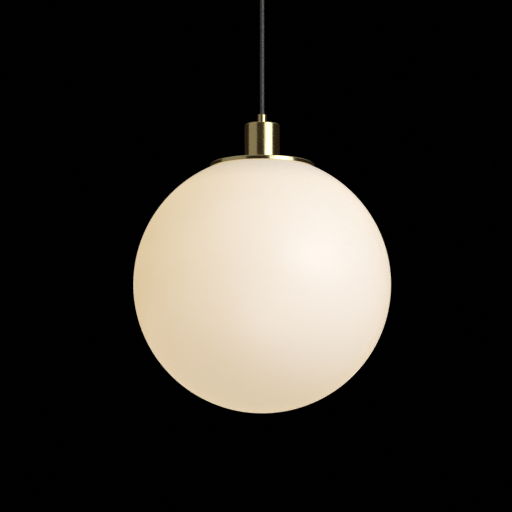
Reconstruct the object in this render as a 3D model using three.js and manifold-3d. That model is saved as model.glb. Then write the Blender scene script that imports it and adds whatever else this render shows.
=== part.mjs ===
// Pendant ceiling light: a brass ceiling rose, a short cord, a brass cup and gallery
// plate, and an opal glass globe that three spring clips hold up against the plate.
// Millimetres, +Z up. The origin is on the ceiling, at the middle of the bracket.

import * as THREE from 'three';
import { mergeVertices } from 'three/addons/utils/BufferGeometryUtils.js';
import Module from 'manifold-3d';

const wasm = await Module();
wasm.setup();

// ---- driving dimensions ----

const clearance = 0.3;            // between pieces that touch on the real lamp

// Ceiling side
const canopyRadius = 55;
const canopyDepth = 30;           // ceiling to the underside of the canopy
const canopyWall = 1;
const canopyEdge = 2.5;           // rounding of the lower edge
const ceilingGap = 0.5;           // the canopy's rim stops this far below the ceiling
const bracketWidth = 20;
const bracketThickness = 2;
const bracketTabWidth = 12;
const bracketTabDepth = 16;
const bracketToWall = 1.5;        // from each tab to the inside of the canopy
const ceilingSlotOffset = 30;     // centre of each ceiling screw slot
const ceilingSlotLength = 12;
const ceilingSlotWidth = 5;
const canopyScrewLevel = 10;      // below the ceiling
const canopyScrewRadius = 1.9;
const canopyScrewHeadRadius = 4;
const canopyScrewHeadLength = 5;
const canopyScrewReach = 8;       // from the head to the tip
const blockLength = 22;
const blockWidth = 17;
const blockHeight = 11;
const blockOffset = -8;           // the block sits beside the middle of the bracket
const blockScrewRadius = 1.5;
const blockScrewHeadRadius = 3;
const blockScrewHeadHeight = 1.8;
const terminalScrewRadius = 1.8;
const terminalScrewLength = 5.3;
const terminalSpacingX = 12;
const terminalSpacingY = 9;
const wireEntryDepth = 2.5;       // how far a core enters the block

// Cord and cord grips
const cordRadius = 2.5;
const cordFreeLength = 160;       // from one cord grip to the other
const coreRadius = 1;
const coreSpacing = 1.2;          // from the cord's middle to each core
const gripHeight = 11.7;
const gripShoulder = 1.5;         // how far the grip stands out past its spigot
const gripEdge = 0.6;
const gripMouthFlare = 0.8;
const spigotWall = 1.2;
const spigotLength = 12;
const spigotHoleClearance = 0.4;
const gripScrewRadius = 1.5;
const washerWidth = 4.6;
const washerThickness = 0.8;
const nutWall = 2.5;
const nutThickness = 3;

// Cup, lampholder and gallery plate
const cupHeight = 47.5;
const cupWall = 1;
const cupEdge = 1;
const cupToHolder = 1.1;
const holderWall = 2;
const holderToShell = 2.2;
const holderDrop = 14;            // how far the holder reaches below the plate's top
const holderCapNeckWall = 2.8;
const holderCapNeckHeight = 5;
const holderJoint = 23.7;         // above the plate's top, where the two halves meet
const carrierLevel = 12;
const carrierHeight = 8;
const carrierLedge = 0.7;         // thickness of the ledge that carries it
const shellWall = 0.55;
const shellClearance = 0.35;
const contactWidth = 6;
const contactThickness = 0.5;
const holderScrewRadius = 2.5;
const holderScrewHeight = 2;
const holderScrewOffset = 9;
const plateOverhang = 4.9;        // past the edge of the globe's opening
const plateWall = 1.5;
const plateHoleClearance = 0.4;
const ringWall = 7.3;
const ringHeight = 5.5;
const gasketThickness = 0.8;

// Spring clips
const clipCount = 3;
const clipWidth = 10;
const clipThickness = 0.6;
const clipToRing = 3;
const clipMouthGap = 3.6;         // from the clip's neck to the glass edge
const clipReach = 6;              // how far the knuckle reaches under the glass
const clipRivetInset = 6.5;       // from the clip's inner end to its rivet
const clipRivetRadius = 1.5;
const clipRivetHeadRadius = 3;
const clipRivetHeadHeight = 1.2;

// Globe
const globeRadius = 150;
const globeWall = 3;
const globeMouthRadius = 56.6;    // outer edge of the ground opening

// Lamp, E27 with a 60 mm dome
const lampCapRadius = 13.2;
const lampCapWall = 0.5;
const lampCapLength = 22.2;
const lampTipRadius = 4.8;
const lampTipHeight = 1.2;
const lampInsulatorHeight = 3;
const lampDomeRadius = 30;
const lampDomeWall = 1.2;
const lampBodyLength = 37;
const lampBodyWall = 1.5;
const lampBoardRadius = 27;
const lampBoardThickness = 1.5;
const lampDomeStretch = 1.4;      // depth of the dome, as a share of its radius

// Sides of round pieces
const largeSides = 40;
const smallSides = 20;
const cordSides = 10;
const coreSides = 8;

// ---- levels that follow from the sizes above ----

const canopyMouth = -canopyDepth - clearance - gripHeight;
const headMouth = canopyMouth - cordFreeLength;
const cupTop = headMouth - gripHeight - clearance;
const plateTop = cupTop - cupHeight - clearance;
const innerGlobeRadius = globeRadius - globeWall;
const globeCut = heightOnSphere(globeRadius, globeMouthRadius);
const innerMouthRadius = heightOnSphere(innerGlobeRadius, globeCut);
const plateAboveGlobe = globeCut + 2 * clearance + gasketThickness + plateWall;
const globeCentre = plateTop - plateAboveGlobe;
const boreRadius = cordRadius + clearance;
const spigotRadius = boreRadius + spigotWall;
const spigotHole = spigotRadius + spigotHoleClearance;
const gripRadius = spigotRadius + gripShoulder;
const shellInnerRadius = lampCapRadius + shellClearance;
const holderRadius = shellInnerRadius + shellWall + holderToShell + holderWall;
const cupRadius = holderRadius + cupToHolder + cupWall;
const plateHole = holderRadius + plateHoleClearance;
const plateRadius = globeMouthRadius + plateOverhang;
const ringRadius = plateHole + ringWall;
const clipFootStart = ringRadius + clipToRing;
const clipRivetOffset = clipFootStart + clipRivetInset;
const lampTipLevel = carrierLevel - clearance - contactThickness - 1.9;

function heightOnSphere(radius, distance) {
  return Math.sqrt(radius * radius - distance * distance);
}

// ---- materials ----

function finish(color, roughness, metalness) {
  return new THREE.MeshStandardMaterial({ color, roughness, metalness });
}

const brass = finish(0xb08d4a, 0.32, 1);
const steel = finish(0xa9abad, 0.4, 1);
const springSteel = finish(0x8f9296, 0.3, 1);
const opalGlass = finish(0xf4ead6, 0.35, 0);
const cordSheath = finish(0x1b1b1c, 0.6, 0);
const liveCore = finish(0x6b3a1e, 0.5, 0);
const neutralCore = finish(0x2b5fa8, 0.5, 0);
const blackPlastic = finish(0x202022, 0.45, 0);
const whitePlastic = finish(0xe9e8e4, 0.5, 0);
const porcelain = finish(0xf1efe9, 0.25, 0);
const silicone = finish(0xdcd8cf, 0.7, 0);
const boardWhite = finish(0xd8dcd6, 0.5, 0.2);
const lampDiffuser = finish(0xf7f3ea, 0.4, 0);

// ---- shape helpers ----

function piece(name, geometry, material) {
  const mesh = new THREE.Mesh(geometry, material);
  mesh.name = name;
  return mesh;
}

// Turns a closed outline of [radius, height] points about the Z axis.
function turned(outline, sides) {
  const points = outline.map(([radius, height]) => new THREE.Vector2(radius, height));
  if (THREE.ShapeUtils.area(points) < 0) points.reverse();
  const onAxis = points.findIndex((point, i) => {
    const next = points[(i + 1) % points.length];
    return point.x === 0 && next.x === 0;
  });
  if (onAxis >= 0) {
    const start = onAxis + 1;
    const open = points.slice(start).concat(points.slice(0, start));
    return new THREE.LatheGeometry(open, sides).rotateX(Math.PI / 2);
  }
  return new THREE.LatheGeometry([...points, points[0]], sides).rotateX(Math.PI / 2);
}

// Points on a quarter circle or any other arc, angles in radians from +radius.
function arc(centreRadius, centreHeight, radius, from, to, steps) {
  const points = [];
  for (let i = 0; i <= steps; i++) {
    const angle = from + (to - from) * (i / steps);
    points.push([
      centreRadius + radius * Math.cos(angle),
      centreHeight + radius * Math.sin(angle),
    ]);
  }
  return points;
}

function cylinder(radius, bottom, top, sides = smallSides) {
  return turned([[0, bottom], [radius, bottom], [radius, top], [0, top]], sides);
}

function tube(innerRadius, outerRadius, bottom, top, sides = smallSides) {
  const outline = [[innerRadius, bottom], [outerRadius, bottom], [outerRadius, top], [innerRadius, top]];
  return turned(outline, sides);
}

function box(from, to) {
  const size = to.map((value, i) => value - from[i]);
  const middle = to.map((value, i) => (value + from[i]) / 2);
  return new THREE.BoxGeometry(...size).translate(...middle);
}

// A flat strip of one thickness that follows a folded line in the XZ plane.
function foldedStrip(line, thickness, width) {
  const points = line.map(([x, z]) => new THREE.Vector2(x, z));
  const offset = (side) => points.map((point, i) => {
    const before = points[Math.max(i - 1, 0)];
    const after = points[Math.min(i + 1, points.length - 1)];
    const inward = point.clone().sub(before).normalize();
    const outward = after.clone().sub(point).normalize();
    if (i === 0) inward.copy(outward);
    if (i === points.length - 1) outward.copy(inward);
    const mitre = inward.add(outward).normalize();
    const reach = (side * thickness / 2) / mitre.dot(outward);
    return new THREE.Vector2(point.x - mitre.y * reach, point.y + mitre.x * reach);
  });
  const shape = new THREE.Shape([...offset(1), ...offset(-1).reverse()]);
  const geometry = new THREE.ExtrudeGeometry(shape, { depth: width, bevelEnabled: false });
  return geometry.translate(0, 0, -width / 2).rotateX(Math.PI / 2);
}

// A round cord or wire along a smooth curve through the given points.
function along(route, radius, sides, steps) {
  const section = new THREE.Shape();
  for (let i = 0; i < sides; i++) {
    const angle = (i / sides) * 2 * Math.PI;
    const x = radius * Math.cos(angle);
    const y = radius * Math.sin(angle);
    if (i === 0) section.moveTo(x, y);
    else section.lineTo(x, y);
  }
  const curve = new THREE.CatmullRomCurve3(route.map((point) => new THREE.Vector3(...point)));
  return new THREE.ExtrudeGeometry(section, { extrudePath: curve, steps, bevelEnabled: false });
}

function toSolid(geometry) {
  const plain = geometry.clone();
  plain.deleteAttribute('normal');
  plain.deleteAttribute('uv');
  const merged = mergeVertices(plain, 1e-4);
  const index = Array.from(merged.index.array);
  const kept = [];
  for (let i = 0; i < index.length; i += 3) {
    const [a, b, c] = index.slice(i, i + 3);
    if (a !== b && b !== c && c !== a) kept.push(a, b, c);
  }
  return new wasm.Manifold(new wasm.Mesh({
    numProp: 3,
    vertProperties: Float32Array.from(merged.attributes.position.array),
    triVerts: Uint32Array.from(kept),
  }));
}

function toGeometry(solid) {
  const mesh = solid.getMesh();
  const geometry = new THREE.BufferGeometry();
  geometry.setAttribute('position', new THREE.BufferAttribute(mesh.vertProperties, 3));
  geometry.setIndex(new THREE.BufferAttribute(mesh.triVerts, 1));
  geometry.computeVertexNormals();
  return geometry;
}

function cut(geometry, ...tools) {
  const result = tools.reduce((solid, tool) => solid.subtract(toSolid(tool)), toSolid(geometry));
  return toGeometry(result);
}

function join(geometry, ...others) {
  const result = others.reduce((solid, other) => solid.add(toSolid(other)), toSolid(geometry));
  return toGeometry(result);
}

// A cylinder lying along X.
function crossBar(radius, from, to, sides = smallSides) {
  return cylinder(radius, from, to, sides).rotateY(Math.PI / 2);
}

function slotCutter(centre, length, width) {
  const half = (length - width) / 2;
  const deep = bracketThickness + 2;
  const bar = box([centre - half, -width / 2, -deep], [centre + half, width / 2, deep]);
  const ends = [-half, half].map((shift) => (
    cylinder(width / 2, -deep, deep).translate(centre + shift, 0, 0)
  ));
  return join(bar, ...ends);
}

// ---- ceiling side ----

const bracketReach = canopyRadius - canopyWall - bracketToWall;

function ceilingBracket() {
  const halfWidth = bracketWidth / 2;
  const strap = box([-bracketReach, -halfWidth, -bracketThickness], [bracketReach, halfWidth, 0]);
  const tabs = [-1, 1].map((side) => {
    const inner = side * (bracketReach - bracketThickness);
    const outer = side * bracketReach;
    return box(
      [Math.min(inner, outer), -bracketTabWidth / 2, -bracketTabDepth],
      [Math.max(inner, outer), bracketTabWidth / 2, -bracketThickness / 2],
    );
  });
  const slots = [-1, 1].map((side) => (
    slotCutter(side * ceilingSlotOffset, ceilingSlotLength, ceilingSlotWidth)
  ));
  const screwHoles = crossBar(canopyScrewRadius + clearance, -canopyRadius, canopyRadius);
  screwHoles.translate(0, 0, -canopyScrewLevel);
  const blockScrewHole = cylinder(blockScrewRadius + clearance, -bracketThickness - 1, 1);
  blockScrewHole.translate(blockOffset, 0, 0);
  return piece('ceiling_bracket', cut(join(strap, ...tabs), ...slots, screwHoles, blockScrewHole), steel);
}

function canopyScrew(name, side) {
  const seat = canopyRadius + clearance;
  const head = crossBar(canopyScrewHeadRadius, seat, seat + canopyScrewHeadLength);
  const shank = crossBar(canopyScrewRadius, seat - canopyScrewReach, seat + 1);
  const screw = piece(name, join(head, shank), brass);
  screw.rotation.z = side > 0 ? 0 : Math.PI;
  screw.position.z = -canopyScrewLevel;
  return screw;
}

const blockTop = -bracketThickness - clearance;
const blockBottom = blockTop - blockHeight;
const wireLevel = blockBottom + terminalScrewLength;

function terminalPlaces() {
  const places = [];
  for (const x of [-1, 1]) {
    for (const y of [-1, 1]) {
      places.push([blockOffset + (x * terminalSpacingX) / 2, (y * terminalSpacingY) / 2]);
    }
  }
  return places;
}

function terminalBlock() {
  const front = blockOffset + blockLength / 2;
  const body = box(
    [front - blockLength, -blockWidth / 2, blockBottom],
    [front, blockWidth / 2, blockTop],
  );
  const pockets = terminalPlaces().map(([x, y]) => (
    cylinder(terminalScrewRadius + clearance, blockBottom - 1, wireLevel, 12).translate(x, y, 0)
  ));
  const entries = [-1, 1].map((side) => (
    crossBar(coreRadius + clearance, front - wireEntryDepth - clearance, front + 1, 12)
      .translate(0, (side * terminalSpacingY) / 2, wireLevel)
  ));
  const screwHole = cylinder(blockScrewRadius + clearance, blockBottom - 1, blockTop + 1, 12);
  screwHole.translate(blockOffset, 0, 0);
  return piece('terminal_block', cut(body, ...pockets, ...entries, screwHole), whitePlastic);
}

function terminalScrews() {
  return terminalPlaces().map(([x, y], i) => {
    const bottom = blockBottom - clearance;
    const shank = cylinder(terminalScrewRadius, bottom, wireLevel - clearance, 12);
    const screw = piece(`terminal_screw_${i + 1}`, shank, brass);
    screw.position.set(x, y, 0);
    return screw;
  });
}

function blockScrew() {
  const seat = blockBottom - clearance;
  const outline = [
    [0, seat - blockScrewHeadHeight],
    [blockScrewHeadRadius, seat - blockScrewHeadHeight],
    [blockScrewHeadRadius, seat],
    [blockScrewRadius, seat],
    [blockScrewRadius, -clearance],
    [0, -clearance],
  ];
  const screw = piece('block_screw', turned(outline, 12), steel);
  screw.position.x = blockOffset;
  return screw;
}

function canopy() {
  const bottom = -canopyDepth;
  const inner = canopyRadius - canopyWall;
  const innerEdge = canopyEdge - canopyWall;
  const outline = [
    [inner, -ceilingGap],
    ...arc(inner - innerEdge, bottom + canopyEdge, innerEdge, 0, -Math.PI / 2, 3),
    [spigotHole, bottom + canopyWall],
    [spigotHole, bottom],
    ...arc(canopyRadius - canopyEdge, bottom + canopyEdge, canopyEdge, -Math.PI / 2, 0, 3),
    [canopyRadius, -ceilingGap],
  ];
  const slotHalf = canopyScrewRadius + clearance;
  const slots = box([-canopyRadius - 1, -slotHalf, -canopyScrewLevel], [canopyRadius + 1, slotHalf, 1]);
  const slotEnds = crossBar(slotHalf, -canopyRadius - 1, canopyRadius + 1);
  slotEnds.translate(0, 0, -canopyScrewLevel);
  return piece('canopy', cut(turned(outline, largeSides), slots, slotEnds), brass);
}

// ---- cord grips, the same piece at both ends of the cord ----

// The grip stands with its mouth up, its seat at height 0 and its spigot below.
function gripGeometry() {
  const outline = [
    [boreRadius, -spigotLength],
    [spigotRadius, -spigotLength],
    [spigotRadius, 0],
    [gripRadius, 0],
    ...arc(gripRadius - gripEdge, gripHeight - gripEdge, gripEdge, 0, Math.PI / 2, 3),
    [boreRadius + gripMouthFlare, gripHeight],
    [boreRadius, gripHeight - gripMouthFlare],
  ];
  const screwHole = crossBar(gripScrewRadius + clearance, 0, gripRadius + 1, 12);
  screwHole.rotateZ(Math.PI / 2);
  screwHole.translate(0, 0, gripHeight / 2);
  return cut(turned(outline, smallSides), screwHole);
}

function gripScrewGeometry() {
  const screw = crossBar(gripScrewRadius, cordRadius + clearance, gripRadius - clearance, 12);
  return screw.rotateZ(Math.PI / 2).translate(0, 0, gripHeight / 2);
}

// Below the seat: the wall that the grip holds, then a washer and a nut.
function gripSet(prefix, wallName, wall) {
  const set = new THREE.Group();
  const washerTop = -clearance - wall - clearance;
  const nutTop = washerTop - washerThickness - clearance;
  const hexagon = (spigotRadius + nutWall) / Math.cos(Math.PI / 6);
  const nut = cut(
    cylinder(hexagon, nutTop - nutThickness, nutTop, 6),
    cylinder(spigotRadius + clearance, nutTop - nutThickness - 1, nutTop + 1, smallSides),
  );
  const washer = tube(spigotHole, spigotHole + washerWidth, washerTop - washerThickness, washerTop);
  set.add(
    piece(`${prefix}_grip`, gripGeometry(), brass),
    piece(`${prefix}_grip_screw`, gripScrewGeometry(), steel),
    piece(`${wallName}_washer`, washer, steel),
    piece(`${wallName}_nut`, nut, steel),
  );
  return set;
}

// ---- cord and cores ----

const ceilingTailTop = -canopyDepth + spigotLength - 1;
const headTailBottom = cupTop - spigotLength - 3;
const cordSteps = 14;

function straightCord(name, top, bottom, steps) {
  const route = [[0, 0, top], [0, 0, (top + bottom) / 2], [0, 0, bottom]];
  return piece(name, along(route, cordRadius, cordSides, steps), cordSheath);
}

function cordPieces() {
  const halfGap = clearance / 2;
  return [
    straightCord('cord_ceiling_tail', ceilingTailTop, canopyMouth + halfGap, 2),
    straightCord('cord', canopyMouth - halfGap, headMouth + halfGap, cordSteps),
    straightCord('cord_head_tail', headMouth - halfGap, headTailBottom, 2),
  ];
}

function coreName(side, place) {
  return `${side > 0 ? 'live' : 'neutral'}_core_${place}`;
}

function ceilingCore(side) {
  const start = ceilingTailTop + clearance;
  const spread = (side * terminalSpacingY) / 2;
  const front = blockOffset + blockLength / 2;
  const route = [
    [0, side * coreSpacing, start],
    [0, side * coreSpacing, start + 1],
    [1.8, side * coreSpacing * 1.4, start + 2.6],
    [front + 5, spread * 0.8, start + 4.2],
    [front + 9, spread, (start + wireLevel) / 2 + 2.8],
    [front + 5, spread, wireLevel],
    [front - wireEntryDepth + clearance, spread, wireLevel],
  ];
  const material = side > 0 ? liveCore : neutralCore;
  return piece(coreName(side, 'ceiling'), along(route, coreRadius, coreSides, 16), material);
}

// ---- cup, lampholder and plate, measured up from the plate's top ----

const cupBottom = clearance;
const cupInnerTop = cupBottom + cupHeight - cupWall;
const spigotEnd = cupBottom + cupHeight + clearance - spigotLength;
const carrierTop = carrierLevel + carrierHeight;
const holderScrewTop = carrierTop + clearance + holderScrewHeight;

function cup() {
  const inner = cupRadius - cupWall;
  const top = cupBottom + cupHeight;
  const outline = [
    [inner, cupBottom],
    [cupRadius, cupBottom],
    ...arc(cupRadius - cupEdge, top - cupEdge, cupEdge, 0, Math.PI / 2, 3),
    [spigotHole, top],
    [spigotHole, cupInnerTop],
    [inner, cupInnerTop],
  ];
  return piece('cup', turned(outline, largeSides), brass);
}

function holderCap() {
  const inner = holderRadius - holderWall;
  const bottom = holderJoint + clearance;
  const roof = spigotEnd - clearance;
  const shoulder = roof + holderWall;
  const neck = spigotHole + holderCapNeckWall;
  const outline = [
    [inner, bottom],
    [holderRadius, bottom],
    [holderRadius, shoulder - 3],
    [holderRadius - 3, shoulder],
    [neck, shoulder],
    [neck, roof + holderCapNeckHeight],
    [spigotHole, roof + holderCapNeckHeight],
    [spigotHole, roof],
    [inner - 2, roof],
    [inner, roof - 2],
  ];
  return piece('holder_cap', turned(outline, largeSides), blackPlastic);
}

function holderBody() {
  const inner = holderRadius - holderWall;
  const ledgeRadius = inner - 1.3;
  const ledgeTop = carrierLevel - clearance;
  const outline = [
    [inner, -holderDrop],
    [holderRadius, -holderDrop],
    [holderRadius, holderJoint],
    [inner, holderJoint],
    [inner, ledgeTop],
    [ledgeRadius, ledgeTop],
    [ledgeRadius, ledgeTop - carrierLedge],
    [inner, ledgeTop - carrierLedge],
  ];
  return piece('holder_body', turned(outline, largeSides), blackPlastic);
}

function contactCarrier() {
  const radius = holderRadius - holderWall - clearance - 0.1;
  return piece('contact_carrier', cylinder(radius, carrierLevel, carrierTop), porcelain);
}

function threadShell() {
  const top = carrierLevel - clearance;
  const bottom = -holderDrop + 2;
  const shell = tube(shellInnerRadius, shellInnerRadius + shellWall, bottom, top);
  return piece('thread_shell', shell, brass);
}

function centreContact() {
  const foot = carrierLevel - clearance - contactThickness / 2;
  const touch = lampTipLevel + clearance + contactThickness / 2 + 0.05;
  const line = [[11, foot], [4, foot], [-3, touch], [-5, touch + 0.3]];
  return piece('centre_contact', foldedStrip(line, contactThickness, contactWidth), springSteel);
}

function holderScrews() {
  return [1, -1].map((side) => {
    const head = cylinder(holderScrewRadius, carrierTop + clearance, holderScrewTop, 12);
    const screw = piece(`holder_screw_${side > 0 ? 'live' : 'neutral'}`, head, brass);
    screw.position.y = side * holderScrewOffset;
    return screw;
  });
}

function headCore(side) {
  const start = headTailBottom - plateTop - clearance;
  const end = side * (holderScrewOffset - holderScrewRadius - coreRadius - clearance);
  const route = [
    [0, side * coreSpacing, start],
    [0, side * (coreSpacing + 0.4), start - 3],
    [0, (end + side * coreSpacing) / 2, (start + carrierTop) / 2],
    [0, end, carrierTop + 3],
    [0, end, carrierTop + clearance],
  ];
  const material = side > 0 ? liveCore : neutralCore;
  return piece(coreName(side, 'head'), along(route, coreRadius, coreSides, 10), material);
}

function shadeRing() {
  const top = -plateWall - clearance;
  const outline = [
    [plateHole, top - ringHeight],
    [ringRadius - 1, top - ringHeight],
    [ringRadius, top - ringHeight + 1],
    [ringRadius, top],
    [plateHole, top],
  ];
  return piece('shade_ring', turned(outline, largeSides), blackPlastic);
}

// The turned-down rim ends just above the glass and follows its slope.
function galleryPlate() {
  const rimInner = plateRadius - plateWall;
  const rimOuterEnd = heightOnSphere(globeRadius, plateRadius) + clearance - plateAboveGlobe;
  const rimInnerEnd = heightOnSphere(globeRadius, rimInner) + clearance - plateAboveGlobe;
  const outline = [
    [plateHole, -plateWall],
    [rimInner, -plateWall],
    [rimInner, rimInnerEnd],
    [plateRadius, rimOuterEnd],
    [plateRadius, -0.4],
    [plateRadius - 0.4, 0],
    [plateHole, 0],
  ];
  const rivetHoles = clipAngles().map((angle) => (
    cylinder(clipRivetRadius + clearance, -plateWall - 1, 1, 12)
      .translate(clipRivetOffset, 0, 0)
      .rotateZ(angle)
  ));
  return piece('gallery_plate', cut(turned(outline, largeSides), ...rivetHoles), brass);
}

function gasket() {
  const top = -plateWall - clearance;
  const ring = tube(innerMouthRadius + 0.4, globeMouthRadius - 0.4, top - gasketThickness, top, largeSides);
  return piece('gasket', ring, silicone);
}

function clipAngles() {
  return Array.from({ length: clipCount }, (_, i) => Math.PI / 2 + (i * 2 * Math.PI) / clipCount);
}

function springClip(i, angle) {
  const foot = -plateWall - clearance - clipThickness / 2;
  const neck = innerMouthRadius - clipMouthGap;
  const knuckle = innerMouthRadius + clipReach;
  const underGlass = heightOnSphere(innerGlobeRadius, knuckle + clipThickness) - plateAboveGlobe;
  const knuckleLevel = underGlass - clearance - clipThickness;
  const line = [
    [clipFootStart, foot],
    [neck - 1, foot],
    [neck, foot - 1],
    [neck, knuckleLevel - 1.5],
    [neck + 1, knuckleLevel - 2],
    [knuckle - 0.6, knuckleLevel - 0.2],
    [knuckle, knuckleLevel - 1],
    [neck + 2, knuckleLevel - 8],
  ];
  const strip = foldedStrip(line, clipThickness, clipWidth);
  const rivetHole = cylinder(clipRivetRadius + clearance, foot - 2, foot + 2, 12);
  rivetHole.translate(clipRivetOffset, 0, 0);
  const clip = piece(`spring_clip_${i + 1}`, cut(strip, rivetHole), springSteel);
  clip.rotation.z = angle;
  return clip;
}

function clipRivet(i, angle) {
  const seat = -plateWall - clearance - clipThickness - clearance;
  const outline = [
    [0, seat - clipRivetHeadHeight],
    [clipRivetHeadRadius * 0.6, seat - clipRivetHeadHeight],
    [clipRivetHeadRadius, seat],
    [clipRivetRadius, seat],
    [clipRivetRadius, -0.1],
    [0, -0.1],
  ];
  const rivet = piece(`clip_rivet_${i + 1}`, turned(outline, 12), steel);
  rivet.position.set(clipRivetOffset * Math.cos(angle), clipRivetOffset * Math.sin(angle), 0);
  return rivet;
}

// ---- globe, measured from its own centre ----

function globe() {
  const outerMouth = Math.atan2(globeCut, globeMouthRadius);
  const innerMouth = Math.atan2(globeCut, innerMouthRadius);
  const outline = [
    ...arc(0, 0, globeRadius, -Math.PI / 2, outerMouth, 16),
    ...arc(0, 0, innerGlobeRadius, innerMouth, -Math.PI / 2, 16),
  ];
  outline[0][0] = 0;
  outline[outline.length - 1][0] = 0;
  return piece('globe', turned(outline, largeSides), opalGlass);
}

// ---- lamp, measured down from the top of its contact ----

function lampPieces() {
  const insulatorTop = -lampTipHeight - clearance;
  const capTop = insulatorTop - lampInsulatorHeight - clearance;
  const capBottom = capTop - lampCapLength;
  const capInner = lampCapRadius - lampCapWall;
  const bodyTop = capBottom - clearance;
  const bodyBottom = bodyTop - lampBodyLength;
  const neckRadius = capInner - clearance;
  const domeTop = bodyBottom - clearance;
  const domeDepth = lampDomeRadius * lampDomeStretch;

  const cap = [
    [lampTipRadius + 1, capTop],
    [lampTipRadius + 1, capTop - lampCapWall],
    [capInner, capTop - lampCapWall - 3],
    [capInner, capBottom],
    [lampCapRadius, capBottom],
    [lampCapRadius, capTop - 3],
    [lampCapRadius - 2.5, capTop],
  ];
  const insulator = [
    [0, insulatorTop],
    [0, insulatorTop - lampInsulatorHeight],
    [lampCapRadius - 2.8, insulatorTop - lampInsulatorHeight],
    [lampTipRadius + 0.6, insulatorTop],
  ];
  const body = [
    [neckRadius, bodyTop + 5],
    [neckRadius, bodyTop],
    [lampCapRadius + 0.6, bodyTop],
    [lampCapRadius + 2.2, bodyTop - lampBodyLength * 0.3],
    [lampDomeRadius - 2.5, bodyTop - lampBodyLength * 0.85],
    [lampDomeRadius, bodyBottom],
    [lampDomeRadius - lampBodyWall, bodyBottom],
    [lampDomeRadius - 2.5 - lampBodyWall, bodyTop - lampBodyLength * 0.85],
    [lampCapRadius + 2.2 - lampBodyWall, bodyTop - lampBodyLength * 0.3],
    [neckRadius - lampBodyWall, bodyTop],
    [neckRadius - lampBodyWall, bodyTop + 5],
  ];
  const dome = [];
  const domeSteps = 8;
  for (let i = 0; i <= domeSteps; i++) {
    const angle = (i / domeSteps) * (Math.PI / 2);
    dome.push([lampDomeRadius * Math.cos(angle), domeTop - domeDepth * Math.sin(angle)]);
  }
  dome[domeSteps][0] = 0;
  for (let i = domeSteps; i >= 0; i--) {
    const angle = (i / domeSteps) * (Math.PI / 2);
    const radius = (lampDomeRadius - lampDomeWall) * Math.cos(angle);
    dome.push([i === domeSteps ? 0 : radius, domeTop - (domeDepth - lampDomeWall) * Math.sin(angle)]);
  }
  const boardTop = bodyTop - lampBodyLength * 0.85 - 2;
  return [
    piece('lamp_tip', cylinder(lampTipRadius, -lampTipHeight, 0), steel),
    piece('lamp_insulator', turned(insulator, smallSides), blackPlastic),
    piece('lamp_cap', turned(cap, smallSides), steel),
    piece('lamp_body', turned(body, largeSides / 2), whitePlastic),
    piece('lamp_board', cylinder(lampBoardRadius - 2, boardTop - lampBoardThickness, boardTop), boardWhite),
    piece('lamp_dome', turned(dome, largeSides / 2), lampDiffuser),
  ];
}

// ---- assembly ----

const light = new THREE.Group();

light.add(
  ceilingBracket(),
  canopyScrew('canopy_screw_right', 1),
  canopyScrew('canopy_screw_left', -1),
  terminalBlock(),
  ...terminalScrews(),
  blockScrew(),
  canopy(),
  ceilingCore(1),
  ceilingCore(-1),
  ...cordPieces(),
);

const canopyGrip = gripSet('canopy', 'canopy', canopyWall);
canopyGrip.rotation.x = Math.PI;
canopyGrip.position.z = -canopyDepth - clearance;
light.add(canopyGrip);

const headGrip = gripSet('head', 'cup', cupWall);
headGrip.position.z = cupTop + clearance;
light.add(headGrip);

const head = new THREE.Group();
head.position.z = plateTop;
head.add(
  cup(),
  holderCap(),
  holderBody(),
  contactCarrier(),
  threadShell(),
  centreContact(),
  ...holderScrews(),
  headCore(1),
  headCore(-1),
  shadeRing(),
  galleryPlate(),
  gasket(),
);
clipAngles().forEach((angle, i) => head.add(springClip(i, angle), clipRivet(i, angle)));
light.add(head);

const glass = globe();
glass.position.z = globeCentre;
light.add(glass);

const lamp = new THREE.Group();
lamp.position.z = plateTop + lampTipLevel;
lamp.add(...lampPieces());
light.add(lamp);

export default light;
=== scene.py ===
import math

import bmesh
import bpy
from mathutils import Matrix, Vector


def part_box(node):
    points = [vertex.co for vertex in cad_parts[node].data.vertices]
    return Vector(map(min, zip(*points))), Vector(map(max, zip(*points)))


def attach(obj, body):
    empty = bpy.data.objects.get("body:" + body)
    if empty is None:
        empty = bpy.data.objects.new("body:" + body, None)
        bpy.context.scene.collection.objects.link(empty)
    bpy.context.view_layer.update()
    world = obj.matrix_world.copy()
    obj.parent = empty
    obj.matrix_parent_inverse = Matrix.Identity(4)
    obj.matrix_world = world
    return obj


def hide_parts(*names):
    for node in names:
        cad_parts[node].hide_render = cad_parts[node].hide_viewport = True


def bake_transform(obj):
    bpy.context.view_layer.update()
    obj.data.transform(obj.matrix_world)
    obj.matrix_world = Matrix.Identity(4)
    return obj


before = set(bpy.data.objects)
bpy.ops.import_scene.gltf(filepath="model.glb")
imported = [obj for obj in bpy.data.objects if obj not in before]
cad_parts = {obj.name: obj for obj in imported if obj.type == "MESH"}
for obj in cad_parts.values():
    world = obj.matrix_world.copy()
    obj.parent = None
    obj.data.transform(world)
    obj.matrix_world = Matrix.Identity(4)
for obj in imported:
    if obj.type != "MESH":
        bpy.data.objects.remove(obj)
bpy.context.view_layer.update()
print("frame loaded,", len(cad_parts), "nodes")

globeLow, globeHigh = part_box("globe")
plateLow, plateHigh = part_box("gallery_plate")
cupLow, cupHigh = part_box("cup")
headGripLow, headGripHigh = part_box("head_grip")
canopyLow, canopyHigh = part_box("canopy")
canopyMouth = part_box("canopy_grip")[0].z

hairEdge = 0.0002    # how far a fine edge is broken
smallEdge = 0.0003
partGap = 0.0003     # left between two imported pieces
spigotHole = 0.0044  # passes a grip's spigot
drillLength = 0.01


# working by hand, as in the viewport
def deselectAll():
    bpy.ops.object.select_all(action="DESELECT")


def pickUp(obj):
    deselectAll()
    obj.select_set(True)
    bpy.context.view_layer.objects.active = obj


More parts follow.
